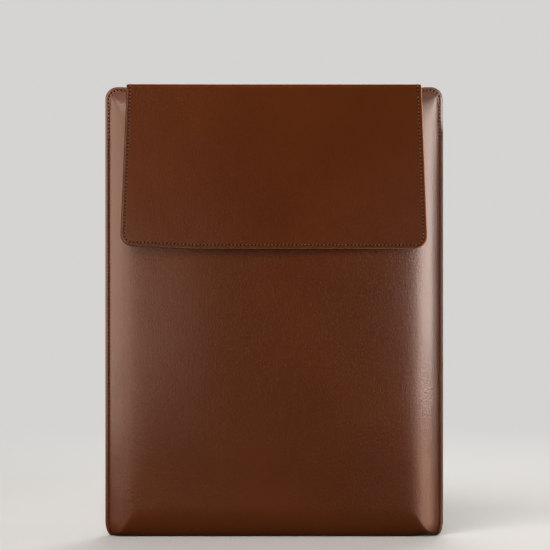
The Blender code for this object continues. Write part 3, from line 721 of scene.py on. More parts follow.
def suede_material(name):
    mat = Nodes(name)
    pos = mat.attribute("pos", "Vector")
    nap = mat.noise(pos, scale=0.06, detail=4.0, rough=0.6)
    turned = mat.stretch(pos, (1.0, 0.45, 1.0), Rotation=(0, 0, 0.3))
    fibre = mat.noise(turned, scale=2.6, detail=4.0, rough=0.7)
    brushed = mat.noise(mat.stretch(pos, (0.05, 0.6, 1.0)), scale=0.6)
    middle, dark, light = (0.235, 0.150, 0.095), (0.150, 0.090, 0.054), (0.300, 0.205, 0.140)
    colour = mat.mix(dark, middle, mat.step(nap, 0.3, 0.7))
    colour = mat.tint(colour, light, mat.step(fibre, 0.48, 0.72), amount=0.45)
    colour = mat.tint(colour, dark, mat.step(brushed, 0.5, 0.8), amount=0.25)
    rim = mat.attribute("rim")
    colour = mat.tint(colour, (0.13, 0.07, 0.04), rim, amount=0.6)
    normal = mat.bump(mat.add(fibre, nap, times=0.5), distance=0.00035, strength=0.55)
    return mat.set(Base_Color=colour, Roughness=0.93, Normal=normal,
                   Sheen_Weight=0.5, Sheen_Roughness=0.45, Sheen_Tint=(0.95, 0.82, 0.70, 1),
                   Specular_IOR_Level=0.2)


def foam_material(name):
    mat = Nodes(name)
    pos = mat.attribute("pos", "Vector")
    cells = mat.voronoi(pos, scale=1.1)
    colour = mat.mix((0.045, 0.045, 0.05), (0.085, 0.085, 0.09), mat.step(cells, 0.1, 0.5))
    colour = mat.tint(colour, (0.11, 0.11, 0.115), mat.noise(pos, scale=0.2), amount=0.3)
    normal = mat.bump(cells, distance=0.0003, strength=0.6)
    return mat.set(Base_Color=colour, Roughness=0.9, Normal=normal)


def board_material(name):
    mat = Nodes(name)
    pos = mat.attribute("pos", "Vector")
    fibre = mat.noise(mat.stretch(pos, (1.0, 0.2, 1.0)), scale=1.2, detail=5.0, rough=0.7)
    clear_of_specks = mat.step(mat.voronoi(pos, scale=0.35), 0.02, 0.09)
    colour = mat.mix((0.22, 0.155, 0.10), (0.34, 0.25, 0.165), fibre)
    colour = mat.mix((0.12, 0.08, 0.05), colour, clear_of_specks)
    normal = mat.bump(fibre, distance=0.0002, strength=0.5)
    return mat.set(Base_Color=colour, Roughness=0.85, Normal=normal)


def nickel_material(name):
    mat = Nodes(name)
    pos = mat.node("ShaderNodeTexCoord").outputs["Object"]
    scratch = mat.noise(mat.stretch(pos, (1.0, 1.0, 0.08)), scale=2400.0)
    dull = mat.noise(pos, scale=260.0)
    colour = mat.mix((0.60, 0.58, 0.53), (0.72, 0.70, 0.66), dull)
    roughness = mat.add(0.20, scratch, times=0.18)
    normal = mat.bump(scratch, distance=0.00002, strength=0.4)
    return mat.set(Base_Color=colour, Roughness=roughness, Metallic=1.0, Normal=normal)


# each finish is a material and the slot it fills
leather = leather_material("brown_leather"), "brown_leather"
# lit and shaded copies of one thread: the seam's copy is brightened as painted light, the strap's darkened
# as painted shade
thread = thread_material("sewing_thread", painted_light_tone=1.2), "sewing_thread"
shaded_strap_thread = thread_material("sewing_thread_strap_shaded", painted_light_tone=0.72), "sewing_thread"
suede = suede_material("suede_lining"), "suede_lining"
foam = foam_material("foam_padding"), "foam_padding"
board = board_material("stiffening_board"), "stiffening_board"
nickel = nickel_material("nickel_plate"), "nickel_plate"


def dress(obj, finish, nodes):
    """Give a piece its finish in place of some CAD nodes."""
    material, slot = finish
    obj.data.materials.append(material)
    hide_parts(*nodes)


def finish_piece(obj, finish, nodes, body):
    dress(obj, finish, nodes)
    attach(obj, body)


# --- the shell ---------------------------------------------------------------------------
def spaced(start, end, step):
    """Even stations from start up to, but without, end."""
    count = max(int(round((end - start) / step)), 1)
    return list(np.linspace(start, end, count + 1)[:-1])


def mirrored(steps):
    """Stations across the shell from distances in from its side, the last at or near the middle."""
    return np.array([-HALF_WIDTH + v for v in steps] + [HALF_WIDTH - v for v in steps[-2::-1]])


EDGE_STEPS = [0, 0.35, 0.8, 1.25, 1.6, 1.9, 2.2, 2.5, 2.8, 3.1, 3.45, 3.8, 4.2, 4.7, 5.3, 6.0, 6.9, 8.0]
SIDE_STEPS = EDGE_STEPS + [
    9.2, 10.5, 12.0, 13.6, 15.4, 17.4, 19.8, 22.5, 25.6, 29.0, 32.5, 36.0,
    42.0, 50.0, 60.0, 72.0, 85.0, 98.0, 111.0, 125.0]


def bottom_rows(side, turn, under):
    """Rows below FACE_END, from the number of stations in each group."""
    return (list(FACE_END + np.linspace(0, 1, side)[:-1])
            + list(SIDE_END + np.linspace(0, 1, turn)[:-1])
            + list(TURN_END + np.linspace(0, 1, under)))


def run_down(grid):
    """Length along each column of a grid, from its first row."""
    step = np.linalg.norm(np.diff(grid, axis=0), axis=-1)
    return np.concatenate([np.zeros((1, grid.shape[1])), np.cumsum(step, 0)])


def shell_leather():
    """One sheet from the front's mouth, under the bottom, to the back's mouth."""
    rows = EDGE_STEPS + spaced(9.0, 36.0, 0.9) + spaced(36.0, FACE_END, 0.9)
    rows += bottom_rows(side=24, turn=24, under=7)
    across, down = np.meshgrid(mirrored(SIDE_STEPS), np.array(rows))

    def both(front, back=None):
        back = front if back is None else back
        return np.concatenate([front, back[::-1][1:]], 0)

    outer = both(shell(across, down), shell(across, down, back=True))
    inner = outer - grid_normals(outer, 40, back=False) * LEATHER
    # the inner face stays clear of the other half and of the ground
    sign = np.where(np.arange(len(outer))[:, None] < len(rows), -1.0, 1.0)
    face = both(down) <= TURN_END
    clear = np.maximum(sign * inner[..., 1], np.where(face, 0.78, 0.0))
    inner[..., 1] = np.where(face, sign * clear, inner[..., 1])
    inner[..., 2] = np.maximum(inner[..., 2], 1.25)

    run, inward = seam_place(across, down)
    length = run_down(outer)
    fields = {
        "pos": np.stack([both(across), -length, np.zeros_like(length)], -1),
        "st_u": both(np.where(down <= TURN_END, run / SEAM_PITCH, 0.5)),
        "st_d": both(np.where(down <= SIDE_END + 0.3, inward, 40.0)),
        "st_w": both(0.35 + 0.65 * near_corner(run)),
    }
    return sheet("shell_leather", outer, inner, fields, bead=0.28, steps=5)


def seam_line(side_sign, back):
    """Function giving points and normals at lengths along the stitch line of one side."""

    def on_face(run):
        z = run + SEAM_LOW
        down = np.where(z < LOW, FACE_END + (LOW - z) / (LOW - 3.0), HEIGHT - z)
        side = np.full_like(down, INSET)
        share = np.clip((run - SEAM_SIDE) / SEAM_RING, 0, 1)
        ring = BLOCK - INSET
        ring_end = SEAM_SIDE + SEAM_RING
        in_ring = (run > SEAM_SIDE) & (run < ring_end)
        side = np.where(in_ring, BLOCK - np.where(share <= 0.5, ring, (1 - share) * 2 * ring), side)
        down = np.where(in_ring, BLOCK - np.where(share <= 0.5, share * 2 * ring, ring), down)
        far = run >= ring_end
        side = np.where(far, BLOCK + (run - SEAM_SIDE - SEAM_RING), side)
        down = np.where(far, INSET, down)
        return side_sign * (HALF_WIDTH - side), down

    def place(run):
        across, down = on_face(run)
        step = NUDGE * np.where(down > FACE_END, 0.05, 1)
        slope_across = shell(across + NUDGE, down, back) - shell(across - NUDGE, down, back)
        slope_down = shell(across, down + step, back) - shell(across, down - step, back)
        normal = face_normals(slope_across, slope_down, back)
        sunk = 0.14 * (1 - near_corner(run))
        return shell(across, down, back) - normal * sunk[:, None], normal

    return place


finish_piece(shell_leather(), leather, ["outer_shell"], "sleeve")
for label, back in (("front", False), ("back", True)):
    runs = [(seam_line(sign, back), 0.0, SEAM_COUNT, SEAM_PITCH) for sign in (-1, 1)]
    piece = stitches("seam_stitches_" + label, runs,
                     grow=lambda run: 0.85 + 0.35 * near_corner(run))
    finish_piece(piece, thread, ["seam_thread_" + label], "sleeve")


# --- lining and padding ------------------------------------------------------------------
LINING_THICK = 0.55
LINING_MEET = 0.66                                          # depth of the lining at the seams
FOAM_START = 12.0                                           # the foam's edge in from the side
FOAM_THICK = 0.95


def middle_of_block(side, down):
    """0 in a top corner, 1 away from it."""
    return smooth_step(np.maximum(side, down), 24, 40)


def shell_lining(label, back):
    columns = mirrored([0.5] + [v for v in SIDE_STEPS if v >= 1.25])
    rows = [1.6, 1.9, 2.5, 3.1, 3.8, 4.7, 6.0, 8.0]
    rows += spaced(9.5, 36, 1.8) + spaced(36, FACE_END, 5.5)
    rows += bottom_rows(side=10, turn=14, under=5)
    across, down = np.meshgrid(columns, np.array(rows))
    on_face = np.minimum(down, FACE_END)

    def smooth_shell(across, down):
        return shell(across, down, back, detail=0.35)

    above = np.maximum(on_face - NUDGE, 0)
    normal = face_normals(
        smooth_shell(across, on_face + NUDGE) - smooth_shell(across, above),
        smooth_shell(across + NUDGE, on_face) - smooth_shell(across - NUDGE, on_face), back)
    side = HALF_WIDTH - np.abs(across)
    corner = 1 - middle_of_block(side, down)
    past_mouth = smooth_step(down, 3, 13)
    below = 1.5 + 1.2 * past_mouth + 0.6 * corner * past_mouth
    points = smooth_shell(across, on_face) - normal * below[..., None]
    sign = facing(back)
    depth = np.maximum(sign * points[..., 1], LINING_MEET)

    # under the face rows the lining rounds into a floor that meets the other half
    full = (depth - LINING_MEET) / (HALF_DEPTH - 2.7 - LINING_MEET)
    flat = LINING_MEET + (5.0 - LINING_MEET) * full
    rise = 11.0 + 12.5 * full**8
    floor_z = 8.0 + (2.7 - 8.0) * full
    meet = LINING_MEET + (0.32 - LINING_MEET) * full
    turn = np.clip(down - SIDE_END, 0, 1) * QUARTER
    under = np.clip(down - TURN_END, 0, 1)
    z = np.select([down <= FACE_END, down <= SIDE_END, down <= TURN_END],
                  [points[..., 2], LOW + (rise - LOW) * (down - FACE_END),
                   floor_z + (rise - floor_z) * (1 - np.sin(turn))],
                  floor_z - 0.8 * (1 - full) * under)
    y = np.select([down <= SIDE_END, down <= TURN_END],
                  [depth, flat + (depth - flat) * np.cos(turn)], flat + (meet - flat) * under)
    x = np.abs(points[..., 0])
    x = x - ear_shift(HALF_WIDTH - x, z) * (down > FACE_END)
    outer = np.stack([np.sign(across) * x, sign * y, z], -1)
    inner = outer - grid_normals(outer, 30, back) * LINING_THICK
    inner[..., 1] = sign * np.maximum(sign * inner[..., 1], 0.06)
    length = -run_down(outer) + (600 if back else 0)
    pos = np.stack([across, length, np.zeros_like(across)], -1)
    return sheet(label + "_lining_suede", outer, inner, {"pos": pos}, bead=0.15, steps=3)


def foam_pad(label, back):
    columns = mirrored([v for v in SIDE_STEPS if v >= FOAM_START])
    rows = [13.2, 14.5] + spaced(16, 36, 3) + spaced(36, FACE_END, 9) + [FACE_END]
    across, down = np.meshgrid(columns, np.array(rows))
    surface = shell(across, down, back)
    normal = grid_normals(surface, 10, back)
    slack = 0.3 * (1 - middle_of_block(HALF_WIDTH - np.abs(across), down))
    outer = surface - normal * (1.55 + slack)[..., None]
    inner = outer - normal * FOAM_THICK
    pos = np.stack([across, -down, np.zeros_like(across)], -1)
    return sheet(label + "_foam_pad", outer, inner, {"pos": pos}, bead=0.3, steps=3)


for label, back in (("front", False), ("back", True)):
    finish_piece(shell_lining(label, back), suede, [label + "_lining"], "sleeve")
    finish_piece(foam_pad(label, back), foam, [label + "_padding"], "sleeve")


# --- the strap: anchor, bridge and flap as one length of leather --------------------------
FLAP_HALF_TOP, FLAP_HALF_BOTTOM = 107.7, 112.4
FLAP_RADIUS, ANCHOR_RADIUS = 9.0, 5.0                       # the strap's rounded corners
FOLD_RADIUS = 2.7                                           # crisper than the CAD frame's
FOLD_ARC = QUARTER * FOLD_RADIUS
BACK_Y = STRAP_BACK - FOLD_RADIUS                           # the folds' centres
FRONT_Y = STRAP_FRONT + FOLD_RADIUS
FOLD_Z = STRAP_TOP - FOLD_RADIUS
# lengths along the strap from the anchor's lower edge
LIFT_START = FOLD_Z - ANCHOR_BOTTOM                         # the back fold
LIFT_END = LIFT_START + FOLD_ARC
FOLD_START = LIFT_END + (BACK_Y - FRONT_Y)                  # the front fold
FOLD_END = FOLD_START + FOLD_ARC
STRAP_END = FOLD_END + (FOLD_Z - FLAP_BOTTOM)
STRAP_MID = (LIFT_END + FOLD_START) / 2
# corner radius, length at the end, direction of the end
STRAP_ENDS = ((FLAP_RADIUS, STRAP_END, 1), (ANCHOR_RADIUS, 0.0, -1))


def half_width(along):
    """Half-width of the strap without its corners; the flap widens downwards."""
    z = FOLD_Z - (along - FOLD_END)
    fold_z = joint["flap_fold"].z
    lean = (FLAP_HALF_BOTTOM - FLAP_HALF_TOP) / (fold_z - FLAP_BOTTOM)
    return np.where(along > FOLD_END - 3, FLAP_HALF_TOP + lean * np.clip(fold_z - z, 0, 200),
                    FLAP_HALF_TOP)


def strap_frame(along):
    """(y, z, outward y, outward z) of the leather's middle at a length along the strap."""
    along = np.asarray(along, float)
    back = np.clip((along - LIFT_START) / FOLD_RADIUS, 0, QUARTER)
    front = np.clip((along - FOLD_START) / FOLD_RADIUS, 0, QUARTER)
    parts = [along <= LIFT_START, along <= LIFT_END, along <= FOLD_START, along <= FOLD_END]
    y = np.select(parts, [STRAP_BACK, BACK_Y + FOLD_RADIUS * np.cos(back),
                          BACK_Y - (along - LIFT_END), FRONT_Y - FOLD_RADIUS * np.sin(front)],
                  STRAP_FRONT)
    z = np.select(parts, [ANCHOR_BOTTOM + along, FOLD_Z + FOLD_RADIUS * np.sin(back),
                          STRAP_TOP, FOLD_Z + FOLD_RADIUS * np.cos(front)],
                  FOLD_Z - (along - FOLD_END))
    out_y = np.select(parts, [1.0, np.cos(back), 0.0, -np.sin(front)], -1.0)
    out_z = np.select(parts, [0.0, np.sin(back), 1.0, np.cos(front)], 0.0)
    return y, z, out_y, out_z


def bow(x, along):
    """How far the hanging flap stands off its plane: out at the middle of its lower edge and at
    the -X corner, back at the +X corner."""
    down = smooth_step(along, FOLD_END + 8, STRAP_END)
    out = (down**1.5 * (0.8 - 1.7 * smooth_step(x, -15, 108))
           + 0.9 * down * smooth_step(-x, 62, 114))
    ease = smooth_step(along, FOLD_END + 2, FOLD_END + 30)
    return out + 0.06 * np.sin(x / 23 + 0.8) * np.sin(along / 31) * ease


def lift(x, along):
    """The lower edge runs up slightly towards its -X end."""
    return 1.9 * smooth_step(-x, 48, 106) * smooth_step(along, FOLD_END + 60, STRAP_END)


def strap(x, along, off):
    """A point of the strap, off outwards from the leather's middle."""
    x, along = np.broadcast_arrays(np.asarray(x, float), np.asarray(along, float))
    y, z, out_y, out_z = strap_frame(along)
    y = y + out_y * off - bow(x, along)
    z = z + out_z * off + lift(x, along)
    sag = (0.25 * np.cos(x / HALF_WIDTH * QUARTER) ** 2
           * smooth_step(along, LIFT_END, LIFT_END + 6)
           * (1 - smooth_step(along, FOLD_START - 6, FOLD_START)))
    return np.stack([x, y, z - sag], -1)


def strap_place(x, along):
    """(length along the stitch line, distance in from the cut edge) on the strap."""
    side = half_width(along) - np.abs(x)
    run, inward = along.copy(), side.copy()
    for radius, end, sign in STRAP_ENDS:
        start = end - sign * radius
        centre = half_width(np.full_like(along, start)) - radius
        past, out = sign * (along - start), np.abs(x) - centre
        line_radius = radius - INSET
        turn = np.arctan2(np.maximum(past, 0), np.maximum(out, 1e-9))
        reach = np.hypot(np.maximum(out, 0), np.maximum(past, 0))
        in_corner = (past > 0) & (out > 0)
        at_end = (past > 0) & (out <= 0)
        to_end = radius - past
        end_run = start + sign * (QUARTER * line_radius - out)
        run = np.where(in_corner, start + sign * turn * line_radius,
                       np.where(at_end & (to_end < side), end_run, run))
        inward = np.where(in_corner, radius - reach,
                          np.where(at_end, np.minimum(to_end, side), inward))
        near = (past > -40) & (past <= 0) & (out < 0)
        inward = np.where(near, np.minimum(inward, 99), inward)
    return run, inward


START_STEPS = [0, 0.12, 0.35, 0.7, 1.1, 1.6, 2.1, 2.55, 3.0, 3.5, 4.2, 5.0, 6.0, 7.2, 8.4]
END_STEPS = [9.6, 9.0, 8.2, 7.4, 6.6, 5.8, 5.0, 4.3, 3.7, 3.2, 2.8, 2.45,
             2.1, 1.75, 1.4, 1.1, 0.8, 0.55, 0.35, 0.2, 0.09, 0.02, 0.0]
STRAP_SIDES = [0, 0.3, 0.7, 1.2, 1.7, 2.05, 2.35, 2.65, 2.95, 3.3, 3.8, 4.4, 5.2, 6.2, 7.5,
               9.0, 11, 13.5, 17, 21, 26, 32, 39, 47, 56, 66, 77, 88, 98]


def strap_rows(start, end, fine_start, fine_end):
    """Lengths along the strap, close together in the folds and at a rounded end."""
    rows = []
    if fine_start:
        rows += [start + v for v in START_STEPS]
        start = start + 9.0
    marks = (LIFT_START - 3, LIFT_END + 3, FOLD_START - 3, FOLD_END + 3)
    stops = [start] + [v for v in marks if start < v < end - (9.5 if fine_end else 0)]
    stops.append(end - END_STEPS[0] if fine_end else end)
    for near, far in zip(stops[:-1], stops[1:]):
        middle = (near + far) / 2
        fold = marks[0] <= middle <= marks[1] or marks[2] <= middle <= marks[3]
        rows += spaced(near, far, 0.42 if fold else 1.35)
    rows += [end - v for v in END_STEPS] if fine_end else [end]
    return np.array(rows)


def strap_grid(rows, inset=0.0):
    """x and length along for a grid that fills the strap's outline with its rounded corners."""
    half = half_width(rows)
    for radius, end, sign in STRAP_ENDS:
        past = np.clip(sign * (rows - (end - sign * radius)), 0, radius)
        half = half - (radius - np.sqrt(np.maximum(radius * radius - past * past, 0)))
    shares = [(FLAP_HALF_TOP - v) / FLAP_HALF_TOP for v in STRAP_SIDES]
    columns = np.array([-v for v in shares] + [0.0] + shares[::-1])
    x = columns[None, :] * (half[:, None] - inset)
    return x, np.broadcast_to(rows[:, None], x.shape).copy()


# The stitch line runs from the middle of the anchor's lower edge, up one side, over and down
# to the middle of the flap's lower edge.
RUN_FIRST = ANCHOR_RADIUS - (QUARTER * (ANCHOR_RADIUS - INSET) + (FLAP_HALF_TOP - ANCHOR_RADIUS))
flap_straight = float(half_width(np.array([STRAP_END - FLAP_RADIUS]))[0]) - FLAP_RADIUS
RUN_LAST = STRAP_END - FLAP_RADIUS + QUARTER * (FLAP_RADIUS - INSET) + flap_straight
STRAP_COUNT = round((RUN_LAST - RUN_FIRST) / PITCH)
STRAP_PITCH = (RUN_LAST - RUN_FIRST) / STRAP_COUNT


def strap_leather(name, rows, open_row):
    x, along = strap_grid(rows)
    run, inward = strap_place(x, along)
    dip = 0.04 * bump(inward, INSET, 0.5)
    soft_edge = 0.16 * bump(inward, 0.0, 0.35)
    outer = strap(x, along, HALF_LEATHER - dip - soft_edge)
    inner = strap(x, along, -HALF_LEATHER)
    fields = {"pos": np.stack([x, -along + 900, np.zeros_like(x)], -1),
              "st_u": (run - RUN_FIRST) / STRAP_PITCH, "st_d": inward, "st_w": np.ones_like(x)}
    return sheet(name, outer, inner, fields, bead=0.45, steps=6, open_row=open_row)


def strap_lining(name, rows, open_row):
    """The lining lies on the leather round the edge and over the board in the middle."""
    x, along = strap_grid(rows, LINING_INSET)
    run, inward = strap_place(x, along)
    room = smooth_step(inward, 3.4, 8.0) * smooth_step(along, FOLD_END + 2, FOLD_END + 14)
    off = -HALF_LEATHER - 0.04 - 1.02 * room
    near_body = strap(x, along, off - 0.6 + 0.10 * bump(inward, INSET, 0.8))
    near_leather = strap(x, along, off)
    fields = {"pos": np.stack([x, -along + 1500, np.zeros_like(x)], -1),
              "st_u": (run - RUN_FIRST) / STRAP_PITCH, "st_d": inward}
    return sheet(name, near_body, near_leather, fields, bead=0.12, steps=3, open_row=open_row)


def finish_back(obj, finish, nodes):
    """Finish a piece that bends round the back fold, between sleeve and bridge."""
    dress(obj, finish, nodes)
    start = Vector((0, BACK_Y + FOLD_RADIUS, FOLD_Z - 1.0)) * MM
    end = Vector((0, BACK_Y - 1.0, FOLD_Z + FOLD_RADIUS)) * MM
    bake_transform(obj, "sleeve", "bridge", start=start, end=end)


def finish_front(obj, finish, nodes):
    """Finish a piece that bends round the front fold, between bridge and flap."""
    dress(obj, finish, nodes)
    start = Vector((0, FRONT_Y + 1.0, FOLD_Z + FOLD_RADIUS)) * MM
    end = Vector((0, FRONT_Y - FOLD_RADIUS, FOLD_Z - 1.0)) * MM
    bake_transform(obj, "bridge", "flap", start=start, end=end)


rows_back = strap_rows(0.0, STRAP_MID, fine_start=True, fine_end=False)
rows_front = strap_rows(STRAP_MID, STRAP_END, fine_start=False, fine_end=True)
finish_back(strap_leather("strap_leather_back", rows_back, open_row=-1),
            leather, ["flap_anchor", "bridge_leather"])
finish_front(strap_leather("strap_leather_front", rows_front, open_row=0),
             leather, ["flap_leather"])

LINING_INSET = 0.45
rows_bridge = np.array(spaced(LIFT_END + 1.0, STRAP_MID, 1.0) + [STRAP_MID])
finish_piece(strap_lining("bridge_lining_suede", rows_bridge, open_row=-1),
             suede, ["bridge_lining"], "bridge")
lining_end = STRAP_END - LINING_INSET
rows_flap = np.array(rows_front[rows_front <= lining_end].tolist() + [lining_end])
finish_front(strap_lining("flap_lining_suede", rows_flap, open_row=0), suede, ["flap_lining"])

# --- board and magnets inside the flap -----------------------------------------------------
BOARD_INSET, BOARD_CORNER = 6.5, 9
BOARD_NEAR, BOARD_FAR = HALF_LEATHER + 0.12, HALF_LEATHER + 0.92    # depths below the middle


def flap_board():
    end = STRAP_END - BOARD_INSET
    x, along = strap_grid(np.array(spaced(FOLD_END + 8.5, end, 3.0) + [end]), BOARD_INSET)
    corner = np.clip((along - (end - BOARD_CORNER)) / BOARD_CORNER, 0, 1)
    x = x * (1 - 0.05 * (1 - np.sqrt(1 - corner**2)))
    outer, inner = strap(x, along, -BOARD_NEAR), strap(x, along, -BOARD_FAR)
    return sheet("flap_board_fibre", outer, inner, {}, bead=0.1, steps=2)


def disc(name, x_mid, along_mid, radius, near, far):
    """A coin in the strap between two depths below the leather's middle, its rims rounded."""
    sides, rounding = 48, 0.12
    around = np.linspace(0, 2 * math.pi, sides, endpoint=False)
    bevel = 0.3 * rounding
    # radius and depth of each ring
    profile = [
        (radius * 0.35, near), (radius * 0.7, near), (radius - rounding, near),
        (radius - bevel, near + bevel), (radius, near + rounding), (radius, far - rounding),
        (radius - bevel, far - bevel), (radius - rounding, far), (radius * 0.7, far),
        (radius * 0.35, far)]
    rings = [strap(x_mid + r * np.cos(around), along_mid + r * np.sin(around),
                   np.full(sides, -depth)) for r, depth in profile]
    rings += [strap(np.array([x_mid]), np.array([along_mid]), np.array([-depth]))
              for depth in (near, far)]
    faces = []
    for r in range(len(profile) - 1):
        for k in range(sides):
            this, following = r * sides + k, r * sides + (k + 1) % sides
            faces.append([this, following, following + sides, this + sides])
    top = len(profile) * sides
    last = top - sides
    for k in range(sides):
        faces.append([top, (k + 1) % sides, k])
        faces.append([top + 1, last + k, last + (k + 1) % sides])
    obj = make_object(name, np.concatenate(rings), faces, smooth_angle=40)
    mesh = obj.data
    middle = sum((v.co for v in mesh.vertices), Vector()) / len(mesh.vertices)
    if sum((face.center - middle).dot(face.normal) for face in mesh.polygons) < 0:
        mesh.flip_normals()
    return obj


def cut_pocket(piece, cutter):
    cut = piece.modifiers.new("pocket", "BOOLEAN")
    cut.operation = "DIFFERENCE"
    cut.solver = "EXACT"
    cut.object = cutter
    evaluated = piece.evaluated_get(bpy.context.evaluated_depsgraph_get())
    whole = bpy.data.meshes.new_from_object(evaluated)
    piece.modifiers.clear()
    piece.data = whole
    bpy.data.objects.remove(cutter)


def lay_flat(mesh):
    """Replace the sheet's attributes by pos, taken from x and z."""
    for name in [layer.name for layer in mesh.attributes if layer.name in ("rim", "inside")]:
        mesh.attributes.remove(mesh.attributes[name])
    where = np.empty(len(mesh.vertices) * 3)
    mesh.vertices.foreach_get("co", where)
    where = where.reshape(-1, 3) / MM
    add_attribute(mesh, "pos", np.stack([where[:, 0], where[:, 2], np.zeros(len(where))], -1))


piece = flap_board()
for label in ("left", "right"):
    node = "flap_magnet_" + label
    low, high = (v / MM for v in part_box(node))
    x_mid, along_mid = (low.x + high.x) / 2, FOLD_END + FOLD_Z - (low.z + high.z) / 2
    radius = (high.x - low.x) / 2
    cut_pocket(piece, disc("pocket_" + label, x_mid, along_mid, radius + 0.4,
                           near=HALF_LEATHER - 0.5, far=HALF_LEATHER + 1.6))
    coin = disc(node + "_nickel", x_mid, along_mid, radius, near=BOARD_NEAR, far=BOARD_FAR)
    finish_piece(coin, nickel, [node], "flap")
lay_flat(piece.data)
piece.data.shade_smooth()
piece.data.set_sharp_from_angle(angle=math.radians(40))
finish_piece(piece, board, ["flap_board"], "flap")
for node in ("front_magnet_left", "front_magnet_right"):
    frame["nodes"][node].data.materials.clear()
    frame["nodes"][node].data.materials.append(nickel[0])


# --- stitches of the strap -----------------------------------------------------------------
def strap_line(side_sign, off, outwards):
    """Function giving points and normals at lengths along the strap's stitch line.

    outwards is 1 on the outer face and -1 on the inner.
    """

    def on_strap(run):
        along = run.copy()
        x = half_width(run) - INSET
        for radius, end, sign in STRAP_ENDS:
            start = end - sign * radius
            centre = half_width(np.full_like(run, start)) - radius
            line_radius = radius - INSET
            past = sign * (run - start)
            turn = np.clip(past / line_radius, 0, QUARTER)
            rest = past - QUARTER * line_radius
            x = np.where(past > 0, centre + line_radius * np.cos(turn) - np.maximum(rest, 0), x)
            along = np.where(past > 0, start + sign * line_radius * np.sin(turn), along)
        return side_sign * x, along

    def place(run):
        x, along = on_strap(run)
        normal = unit(np.cross(strap(x + NUDGE, along, off) - strap(x - NUDGE, along, off),
                               strap(x, along + NUDGE, off) - strap(x, along - NUDGE, off)))
        _, _, out_y, out_z = strap_frame(along)
        flip = np.sign(normal[:, 1] * out_y + normal[:, 2] * out_z) * outwards
        return strap(x, along, off), normal * flip[:, None]

    return place


def strap_stitches(label, off, outwards, first, count):
    start = RUN_FIRST + first * STRAP_PITCH
    runs = [(strap_line(sign, off, outwards), start, count, STRAP_PITCH) for sign in (-1, 1)]
    return stitches("strap_stitches_" + label, runs)


BACK_COUNT = int(round((STRAP_MID - RUN_FIRST) / STRAP_PITCH))
FRONT_COUNT = STRAP_COUNT - BACK_COUNT
OUTER_OFF, INNER_OFF = HALF_LEATHER - 0.14, -HALF_LEATHER - 0.60
finish_back(strap_stitches("back", OUTER_OFF, 1, first=0, count=BACK_COUNT), shaded_strap_thread,
            ["flap_anchor_thread", "bridge_thread_left", "bridge_thread_right"])
finish_front(strap_stitches("front", OUTER_OFF, 1, first=BACK_COUNT, count=FRONT_COUNT),
             shaded_strap_thread, ["flap_thread_outer"])
finish_front(strap_stitches("inner", INNER_OFF, -1, first=BACK_COUNT, count=FRONT_COUNT),
             shaded_strap_thread, ["flap_thread_inner"])

# --- floor and surround (metres from here on, but for the floor's mesh) ----------------------
PALE = (0.66, 0.655, 0.645, 1)
FLOOR_RADIUS, FLOOR_SIDES = 9000, 96
GLOW_X = 0.100                                              # centre of the floor's mirrored glow


def floor_material():
    """A pale floor that melts into the pale surround with distance."""
    mat = Nodes("pale_floor")
    pos = mat.node("ShaderNodeTexCoord").outputs["Object"]
    path = mat.node("ShaderNodeLightPath")
    seen, mirrored_ray = path.outputs["Is Camera Ray"], path.outputs["Is Glossy Ray"]
    grain = mat.noise(pos, scale=4.0)
    colour = mat.mix((0.49, 0.485, 0.475), (0.53, 0.525, 0.515), grain)
    colour = mat.mix((0.13, 0.125, 0.12), colour, seen)
    colour = mat.mix(colour, (0.02, 0.016, 0.012), mirrored_ray)
    mat.set(Base_Color=colour, Roughness=0.8, Specular_IOR_Level=0.2)
    length = mat.node("ShaderNodeVectorMath", {0: pos}, operation="LENGTH").outputs["Value"]
    far = mat.mul(mat.step(length, 0.12, 1.0), seen)
    # in reflections the floor glows in a wedge that opens to the front right of GLOW_X
    x, y, _ = mat.split(pos)
    bearing = mat.math("ARCTAN2", mat.sub(x, GLOW_X), mat.mul(y, -1.0))
    beside = mat.sub(x, GLOW_X)
    spread = mat.math("SQRT", mat.add(mat.mul(beside, beside), mat.mul(y, y)))
    lit = mat.mul(mat.step(bearing, 0.16, 0.70), mat.step(bearing, 1.02, 1.54, low=1.0, high=0.12))
    lit = mat.mul(lit, mat.step(spread, 0.010, 0.085))
    lit = mat.mul(lit, mat.fall(x, 0.45, 0.95))
    strength = mat.mul(mat.mul(lit, mirrored_ray), 3.15)
    mat.set(Emission_Color=(1.0, 0.62, 0.46, 1), Emission_Strength=strength)
    glow = mat.node("ShaderNodeEmission", {"Color": PALE, "Strength": 1.0})
    blend = mat.node("ShaderNodeMixShader", {"Fac": far, 1: mat.shader.outputs[0],
                                             2: glow.outputs[0]})
    mat.put(mat.tree.nodes["Material Output"].inputs["Surface"], blend.outputs[0])
    return mat.material


def make_floor():
    verts, faces = [(0.0, 0.0, 0.0)], []
    for k in range(FLOOR_SIDES):
        angle = k * math.pi / (FLOOR_SIDES // 2)
        verts.append((FLOOR_RADIUS * math.cos(angle), FLOOR_RADIUS * math.sin(angle), 0.0))
        faces.append((0, k + 1, (k + 1) % FLOOR_SIDES + 1))
    floor = make_object("floor", verts, faces)
    floor.data.materials.append(floor_material())


def make_world():
    """Pale to the camera, nearly dark to everything else."""
    world = bpy.data.worlds.new("studio")
    bpy.context.scene.world = world
    world.use_nodes = True
    tree = world.node_tree
    background = tree.nodes["Background"]
    seen = tree.nodes.new("ShaderNodeBackground")
    seen.inputs["Color"].default_value = PALE
    background.inputs["Color"].default_value = (0.95, 0.97, 1.0, 1)
    background.inputs["Strength"].default_value = 0.02
    path = tree.nodes.new("ShaderNodeLightPath")
    choose = tree.nodes.new("ShaderNodeMixShader")
    tree.links.new(path.outputs["Is Camera Ray"], choose.inputs[0])
    tree.links.new(background.outputs[0], choose.inputs[1])
    tree.links.new(seen.outputs[0], choose.inputs[2])
    tree.links.new(choose.outputs[0], tree.nodes["World Output"].inputs["Surface"])


make_floor()
make_world()


